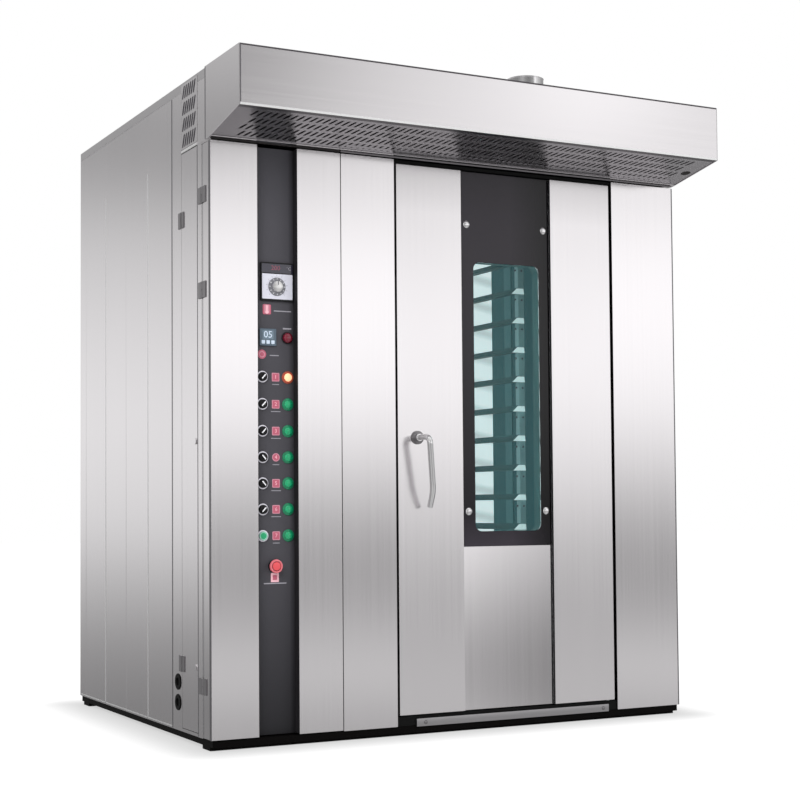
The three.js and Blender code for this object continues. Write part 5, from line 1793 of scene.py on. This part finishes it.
    def _dial(self) -> None:
        """The controller's dial: a skirt with marks, a bright cap and a grip mark."""
        (t, z), base = self.shop.face("temp_dial")[0], self.shop.box("temp_dial")[1][1]
        skirt = [(0, 0), (30, 0), (30, -2.0), (29, -3.0), (20.4, -4.2), (19, -4.8), (0, -4.8)]
        cap = [(0, -4), (18.8, -4), (18.4, -9.2), (17.2, -11.4), (13.4, -13), (6.5, -13.8), (0, -14)]
        parts = [Part(turned(profile, Axis.S, (t, base, z), 64), finish)
                 for profile, finish in ((skirt, "dial_grey"), (cap, "cap_steel"))]
        parts += self._ticks((t, z), self.dial_radius, [30 * step for step in range(12)], (1.6, 5.0),
                             (base - 4.0, base - 2.6), "white_mark")
        grip = prism(rounded((t, z + 10.5), 2.6, 12.0, 0.8, 2), Axis.S, base - 14.6, base - 10, 0.5)
        parts.append(Part(grip, "grey_mark"))
        self.shop.build("temp_dial_knob", parts, "temp_dial", "black_plastic", ("temp_dial",))

    def _heat_tile(self) -> None:
        """Tile below the controller with a thermometer's plain outline, and its rule."""
        t, z = self.heat_tile
        parts = self._printed(
            (rounded((t, z), 29, 33, 4.0, 4), "red_tile"), (rounded((t, z + 1), 18, 28, 3.0, 4), "pink_edge"),
            (rounded((t, z + 3), 6.0, 22.0, 2.8, 4), "pink_mark"), (circle((t, z - 9), 5.6, 20), "pink_mark"))
        self._fitted("heat_tile", parts + self._rule((264.0, z - 4), 62.0, 3.4, 1.2), "red_cap")

    def _timer(self) -> None:
        """Timer: blue-grey face with a display and a row of keys; a round tile below."""
        (t, z), (width, height, depth) = self.timer, self.timer_size
        front = self.face - depth
        case = prism(rounded((t, z), width, height, 3.0, 4), Axis.S, front, self.face, 0.8)
        glass = prism(rounded((t, z + 8), 38.0, 28.0, 1.5, 3), Axis.S, front - 0.4, front + 0.4)
        figures = self.shop.lettering("05", 23, t, front - 0.7, z + 8)
        parts = [Part(case, "timer_face"), Part(glass, "timer_glass"), Part(figures, "digits_pale")]
        for i in (-1, 0, 1):
            key = rounded((t + i * 17, z - 16), 12.0, 12.0, 2.0, 3)
            parts.append(Part(prism(key, Axis.S, front - 1.0, front + 0.4, 0.4), "digits_pale"))
        self._fitted("timer_unit", parts, "controller_white")
        rings = ((15.0, "red_tile"), (10.5, "pink_edge"), (7.0, "red_tile"))
        parts = self._printed(*((circle(self.time_tile, radius, 40), finish) for radius, finish in rings))
        self._fitted("time_tile", parts + self._rule((234.0, 1271.0), 32.0, 3.0, 1.0), "red_cap")

    def _alarm(self) -> None:
        """Alarm lamp: dark red lens in a black ring, with a rule above."""
        t, z = self.alarm
        dome = [(0, 0), (17.5, 0), (17.5, 6), (16.6, 10), (14.2, 13.4), (10, 15.4), (5, 16), (0, 16.2)]
        parts = [Part(self._ring(17.0, 20.0, 4.0, t, z), "black_plastic"),
                 Part(self._on_face(dome, t, z, 10), "alarm_lens"), *self._rule((t, z + 31), 30.0, 5.0, 1.4)]
        self._fitted("alarm_lamp", parts, "red_cap")

    def _stop(self) -> None:
        """Emergency stop: mushroom head whose rim is a painted highlight and whose groove is painted shade,
        on a dark collar, and a plain tile below.
        """
        t, z, radius = self.stop
        parts = [Part(self._ring(12.0, 20.0, self.collar_height, t, z), "black_plastic"),
                 *self._printed((rounded(self.stop_tile, 28.0, 30.0, 2.0, 3), "pink_mark"),
                                (rounded(self.stop_tile, 15.0, 16.0, 1.0, 3), "red_tile")),
                 *self._rule((234.0, 526.0), 80.0, 3.6, 1.2)]
        self._fitted("stop_plate", parts, "red_cap")
        base, rim = self.shop.box("emergency_stop")[1][1], radius - 1.3
        head = [(0, 0), (14, 0), (14, -6), (rim - 3, -7), (rim - 0.6, -8.4), (rim, -10.4), (rim, -12.6),
                (rim - 1.4, -15.0), (rim - 4.0, -16.0), (rim - 6, -15.4), (rim - 6.4, -14.6), (0, -14.6)]
        # The groove's finish is painted shade; the rim's is a painted highlight.
        groove = [(0, -14.2), (rim - 6.2, -14.2), (rim - 6.4, -15.0), (0, -15.0)]
        crown = [(0, -14), (rim - 8.6, -14), (rim - 8.8, -16), (rim - 10, -17.4), (8, -18), (0, -18)]
        parts = [Part(turned(profile, Axis.S, (t, base, z), 56), finish)
                 for profile, finish in ((head, "red_painted_highlight"), (groove, "red_painted_shade"), (crown, "red_plastic"))]
        self.shop.build("emergency_stop_head", parts, "emergency_stop", "red_cap", ("emergency_stop",))


@dataclass
class ServiceDoor:
    """Narrow door on the left side."""

    shop: Workshop

    def build(self) -> None:
        """Finishes the door."""
        self.shop.softened("service_door", "side_steel", 0.8, patches=KNUCKLES)


@dataclass
class Chamber:
    """Baking chamber, its machines and the tray rack."""

    shop: Workshop
    levels: int = 14
    first_level: float = 238.0
    pitch: float = 112.0
    rail_band: Pair = (6.0, 23.0)
    rail_span: Pair = (300.0, 900.0)
    strips: tuple[Pair, ...] = ((914.0, 55.0), (700.0, 30.0))
    strip_reach: Pair = (90.0, 1885.0)

    def build(self) -> None:
        """Finishes the chamber, the rack and the machines."""
        for node in ("chamber_floor", "chamber_ceiling", "chamber_left_wall"):
            self.shop.dress(node, "inner_steel")
        self.shop.dress("chamber_rear_wall", "rear_wall_lit")
        # Painted shade on the right wall, and below on the rack's rails and uprights.
        self.shop.dress("chamber_right_wall", "side_wall_shade_teal")
        below, above = self.rail_band
        rails = tuple(Patch("rail_shade_teal", (z - below, z + above), self.rail_span) for z in self._heights())
        for node in ("rack_left_ladder", "rack_right_ladder"):
            self.shop.softened(node, "upright_shade_teal", 0.5, patches=rails)
        self._rail_stops()
        self._air_strip()
        for node in ("rack_top_frame", "rack_base_frame"):
            self.shop.softened(node, "inner_steel", 0.8)
        for node in ("heater_bank", "fan_wheel", "drive_hook", "caster_fork_left", "caster_fork_right",
                     "electrical_plate"):
            self.shop.dress(node, "galvanised_steel")
        for node in ("rack_gearmotor", "fan_motor"):
            self.shop.dress(node, "motor_paint")
        for place in ("front_left", "front_right", "rear_left", "rear_right"):
            self.shop.dress(f"caster_wheel_{place}", "tread_rubber")

    def _heights(self) -> list[float]:
        """Height of every level of the rack."""
        return [self.first_level + self.pitch * level for level in range(self.levels)]

    def _rail_stops(self) -> None:
        """Bent tab that closes the front end of every rail, and its two screws."""
        head = [(0, -3), (2.6, -2.8), (4.0, -1.4), (4.0, 1.0), (0, 1.0)]
        for side in ("left", "right"):
            low, high = self.shop.box(f"rack_{side}_ladder")
            front = low[1]
            outer, inner, towards = (high[0], low[0], 1.0) if side == "right" else (low[0], high[0], -1.0)
            parts = []
            for z in self._heights():
                tab = np.array([(inner, z - 4), (outer, z - 4), (outer - towards * 3, z + 17),
                                (inner + towards * 22, z + 17)])
                # Each tab's finish is a painted glow.
                parts.append(Part(prism(tab, Axis.S, front - 2.2, front - 0.2, 0.3), "tab_painted_glow"))
                for t in (inner + towards * 16, outer - towards * 10):
                    parts.append(Part(turned(head, Axis.S, (t, front, z - 26), 14), "grey_mark"))
            self.shop.build(f"rail_stops_{side}", parts, "rack", "stainless_inner")

    def _air_strip(self) -> None:
        """Pressed edge strips of the air duct on the right wall."""
        left = self.shop.box("chamber_right_wall")[0][0]
        for number, (front, width) in enumerate(self.strips, 1):
            # Painted shade on the duct strips.
            strip = slab((left - 3, left + 0.4), (front, front + width), self.strip_reach, 1.2)
            self.shop.build(f"air_strip_{number}", [Part(strip, "strip_shade_teal")], "root", "stainless_inner")


# Studio


@dataclass(frozen=True)
class Lamp:
    """An area lamp: its place and what it points at in metres, its width and height, watts and colour."""

    name: str
    place: Triple
    aim: Triple
    size: Pair
    power: float
    colour: Triple = (1, 1, 1)

    def build(self) -> None:
        """Sets the lamp up; it lights the oven and doesn't show itself."""
        data = bpy.data.lights.new(self.name, "AREA")
        data.shape = "RECTANGLE"
        data.size, data.size_y = self.size
        data.energy = self.power
        data.color = self.colour
        lamp = placed(self.name, data)
        lamp.rotation_mode = "QUATERNION"
        lamp.rotation_quaternion = (Vector(self.place) - Vector(self.aim)).to_track_quat("Z", "Y")
        lamp.location = self.place
        lamp.visible_glossy = False
        lamp.visible_camera = False


LAMPS = (
    Lamp("key", (-4.0, -4.5, 4.2), (0, 0, 1.0), (3.0, 3.0), 210),
    Lamp("fill", (4.5, -3.5, 3.2), (0, 0, 1.0), (3.0, 3.0), 110),
    Lamp("rear", (0.5, 5.0, 4.0), (0, 0, 1.2), (4.0, 2.0), 90),
    Lamp("chamber_fill", (0.0, -0.40, 1.0), (0.6, 0.3, 1.0), (0.30, 1.6), 1.7, (0.90, 1.0, 1.0)),
)
# Brightness of the walls that metal mirrors: in front and behind by the ray's height in degrees, then a high
# band in front by its share of the way from left to right, then the whole round by the ray's direction.
HEIGHTS = (-20.0, 60.0)
FRONT_WALL = (
    (-20, 0.62), (-10, 0.48), (-8.2, 0.36), (-7.2, 0.53), (-6.2, 0.85), (-5.4, 0.79), (-4.5, 0.58),
    (-3.4, 0.41), (-2.3, 0.34), (-1.2, 0.41), (-0.1, 0.58), (1.0, 0.80), (2.1, 0.99), (3.6, 1.20),
    (5.6, 1.29), (8.2, 1.31), (9.6, 1.21), (11.0, 1.03), (12.2, 0.90), (13.4, 0.80), (22, 0.8), (30, 0.9),
    (60, 1.05))
REAR_WALL = (
    (-20, 0.36), (-12, 0.30), (-7, 0.23), (-4.6, 0.36), (-2.6, 0.57), (-0.8, 0.80), (0.8, 0.87), (3.0, 0.93),
    (5.2, 0.88), (7.6, 0.78), (9.6, 0.67), (12.2, 0.38), (13.6, 0.36), (16, 0.55), (30, 0.85), (60, 1.0))
HIGH_BAND = (
    (0.0, 0.28), (0.12, 0.36), (0.2, 0.53), (0.3, 0.74), (0.42, 0.88), (0.56, 1.02), (0.66, 1.2),
    (0.74, 1.34), (0.84, 1.2), (0.93, 0.96), (1.0, 0.9))
FLAGS = (
    (-180, 1.0), (-146, 1.0), (-136, 0.72), (-96, 0.58), (-74, 0.7), (-60, 1.0), (-44, 1.1), (-30, 0.75),
    (-8, 0.58), (6, 0.75), (13, 1.0), (46, 1.0), (58, 0.72), (84, 0.55), (112, 0.7), (126, 1.0), (150, 1.0))
WHITE = (1, 1, 1, 1)


@dataclass
class Studio:
    """Camera, floor, lamps and surroundings."""

    lens: float = 71.53
    sensor: float = 36.0
    shift: float = 0.05
    eye: Triple = (-2.7301, -5.3569, 0.7733)
    yaw: float = 27.625
    pitch: float = 2.394
    roll: float = -0.437
    floor_reach: float = 30.0
    floor_grey: float = 0.85
    floor_glow: Pair = (1.2, 0.8)
    # Reach in metres and darkest factor of the painted shadow round the base.
    shade: Pair = (0.24, 0.62)
    soft_light: float = 0.62

    def build(self) -> None:
        """Builds everything that isn't the oven."""
        self._camera()
        self._floor()
        for lamp in LAMPS:
            lamp.build()
        self._world()
        bpy.context.scene.view_settings.view_transform = "Standard"

    def _camera(self) -> None:
        """The photograph's viewpoint: turned by yaw, raised by pitch, leaned by roll."""
        data = bpy.data.cameras.new("camera")
        data.lens = self.lens
        data.sensor_width = self.sensor
        data.shift_y = self.shift
        data.clip_end = 100.0
        camera = placed("camera", data)
        yaw, pitch, roll = (math.radians(a) for a in (self.yaw, self.pitch, self.roll))
        level = np.array([math.sin(yaw), math.cos(yaw), 0.0])
        right = np.array([math.cos(yaw), -math.sin(yaw), 0.0])
        up = np.array([0.0, 0.0, 1.0])
        ahead = level * math.cos(pitch) + up * math.sin(pitch)
        above = up * math.cos(pitch) - level * math.sin(pitch)
        leaned_right = right * math.cos(roll) + above * math.sin(roll)
        leaned_up = above * math.cos(roll) - right * math.sin(roll)
        turn = Matrix(np.stack([leaned_right, leaned_up, -ahead], axis=1).tolist()).to_4x4()
        camera.matrix_world = Matrix.Translation(self.eye) @ turn
        bpy.context.scene.camera = camera

    def _floor(self) -> None:
        """White floor that keeps the oven's shadow, with a painted shadow that darkens it softly close to its
        base.
        """
        r = self.floor_reach
        mesh = bpy.data.meshes.new("floor")
        mesh.from_pydata([(-r, -r, 0), (r, -r, 0), (r, r, 0), (-r, r, 0)], [], [(0, 1, 2, 3)])
        material = bpy.data.materials.new("floor_white")
        nodes = Nodes.of(material)
        strength, share = self.floor_glow
        path = nodes.add("LightPath").outputs
        seen = nodes.op("MAXIMUM", path["Is Camera Ray"], path["Is Glossy Ray"])
        seen = nodes.op("MAXIMUM", seen, path["Is Transmission Ray"])
        glow = nodes.op("MULTIPLY", self._painted_contact_shadow(nodes), strength)
        lit = nodes.add("BsdfDiffuse", {"Color": (self.floor_grey, self.floor_grey, self.floor_grey, 1)})
        white = nodes.add("Emission", {"Color": WHITE, "Strength": glow})
        mixed = nodes.add("MixShader", {
            0: nodes.op("MULTIPLY", seen, share), 1: lit.outputs[0], 2: white.outputs[0]})
        nodes.add("OutputMaterial", {0: mixed.outputs[0]})
        mesh.materials.append(material)
        floor = placed("floor", mesh)
        floor.visible_glossy = False

    def _painted_contact_shadow(self, nodes: Nodes) -> Socket:
        """Painted shadow by the distance to the base: the length of max(|p - middle| - half its size, 0).

        Args:
            nodes: the floor material's nodes.

        Returns:
            The painted shadow's factor, 1 away from the oven.
        """
        low, high = (np.array(corner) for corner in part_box("base_frame"))
        middle, half = (low + high) / 2, (high - low) / 2
        place = nodes.add("TexCoord").outputs["Object"]
        away = nodes.vector("ABSOLUTE", nodes.vector("SUBTRACT", place, (middle[0], middle[1], 0)))
        away = nodes.vector("MAXIMUM", nodes.vector("SUBTRACT", away, (half[0], half[1], 0)), (0, 0, 0))
        distance = nodes.add("VectorMath", {0: away}, operation="LENGTH").outputs["Value"]
        reach, darkest = self.shade
        return nodes.ranged(distance, (0.0, reach), (darkest, 1.0), interpolation_type="SMOOTHSTEP")

    def _world(self) -> None:
        """White to the camera; soft even light; and for glossy rays a studio of bright walls."""
        world = bpy.data.worlds.new("studio")
        bpy.context.scene.world = world
        nodes = Nodes.of(world)
        path = nodes.add("LightPath").outputs
        glossy, soft, white = (
            nodes.add("Background", {0: colour, 1: strength}).outputs[0]
            for colour, strength in ((self._walls(nodes), 1.0), (WHITE, self.soft_light), (WHITE, 1.0)))
        first = nodes.add("MixShader", {0: path["Is Glossy Ray"], 1: soft, 2: glossy}).outputs[0]
        seen = nodes.op("MAXIMUM", path["Is Camera Ray"], path["Is Transmission Ray"])
        nodes.add("OutputWorld", {0: nodes.add("MixShader", {0: seen, 1: first, 2: white}).outputs[0]})

    @staticmethod
    def _walls(nodes: Nodes) -> Socket:
        """The mirrored walls: one run of greys in front of the oven and one behind it, with flags all round.

        Args:
            nodes: the world's nodes.

        Returns:
            The walls' colour.
        """
        x, y, z = nodes.add("SeparateXYZ", {0: nodes.add("TexCoord").outputs["Generated"]}).outputs
        height = nodes.op("ARCSINE", z)
        azimuth = nodes.op("ARCTAN2", x, nodes.op("MULTIPLY", y, -1.0))

        def between(angle: Socket, low: float, high: float) -> Socket:
            """How far an angle is on the way between two in degrees."""
            return nodes.ranged(angle, (math.radians(low), math.radians(high)))

        def greys(angle: Socket, ends: Pair, stops: tuple[Pair, ...]) -> Socket:
            """Greys at stops in degrees."""
            low, high = ends
            shares = [((at - low) / (high - low), grey) for at, grey in stops]
            return nodes.ramp(between(angle, low, high), shares)

        band = nodes.ramp(between(azimuth, 20, 40), list(HIGH_BAND))
        share = nodes.op("MULTIPLY", between(height, 12.6, 13.2), between(height, 22, 17))
        front = nodes.mixed(share, greys(height, HEIGHTS, FRONT_WALL), band)
        side = nodes.ranged(y, (-0.3, 0.3))
        walls = nodes.mixed(side, front, greys(height, HEIGHTS, REAR_WALL))
        return nodes.mixed(1.0, walls, greys(azimuth, (-180.0, 180.0), FLAGS), "MULTIPLY")


def corners(box: tuple) -> list[list[float]]:
    """A box's two corners as plain lists."""
    return [[float(v) for v in corner] for corner in box]


def main() -> None:
    """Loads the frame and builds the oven's pieces in order."""
    logging.basicConfig(level=logging.INFO, format="%(name)s: %(message)s")
    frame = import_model()
    Studio().build()
    shop = Workshop(frame, palette())
    for assembly in (Casing, Hood, OvenDoor, ControlDoor, ServiceDoor, Chamber):
        LOG.info("assembly %s", assembly.__name__)
        assembly(shop).build()


if __name__ == "__main__":
    main()
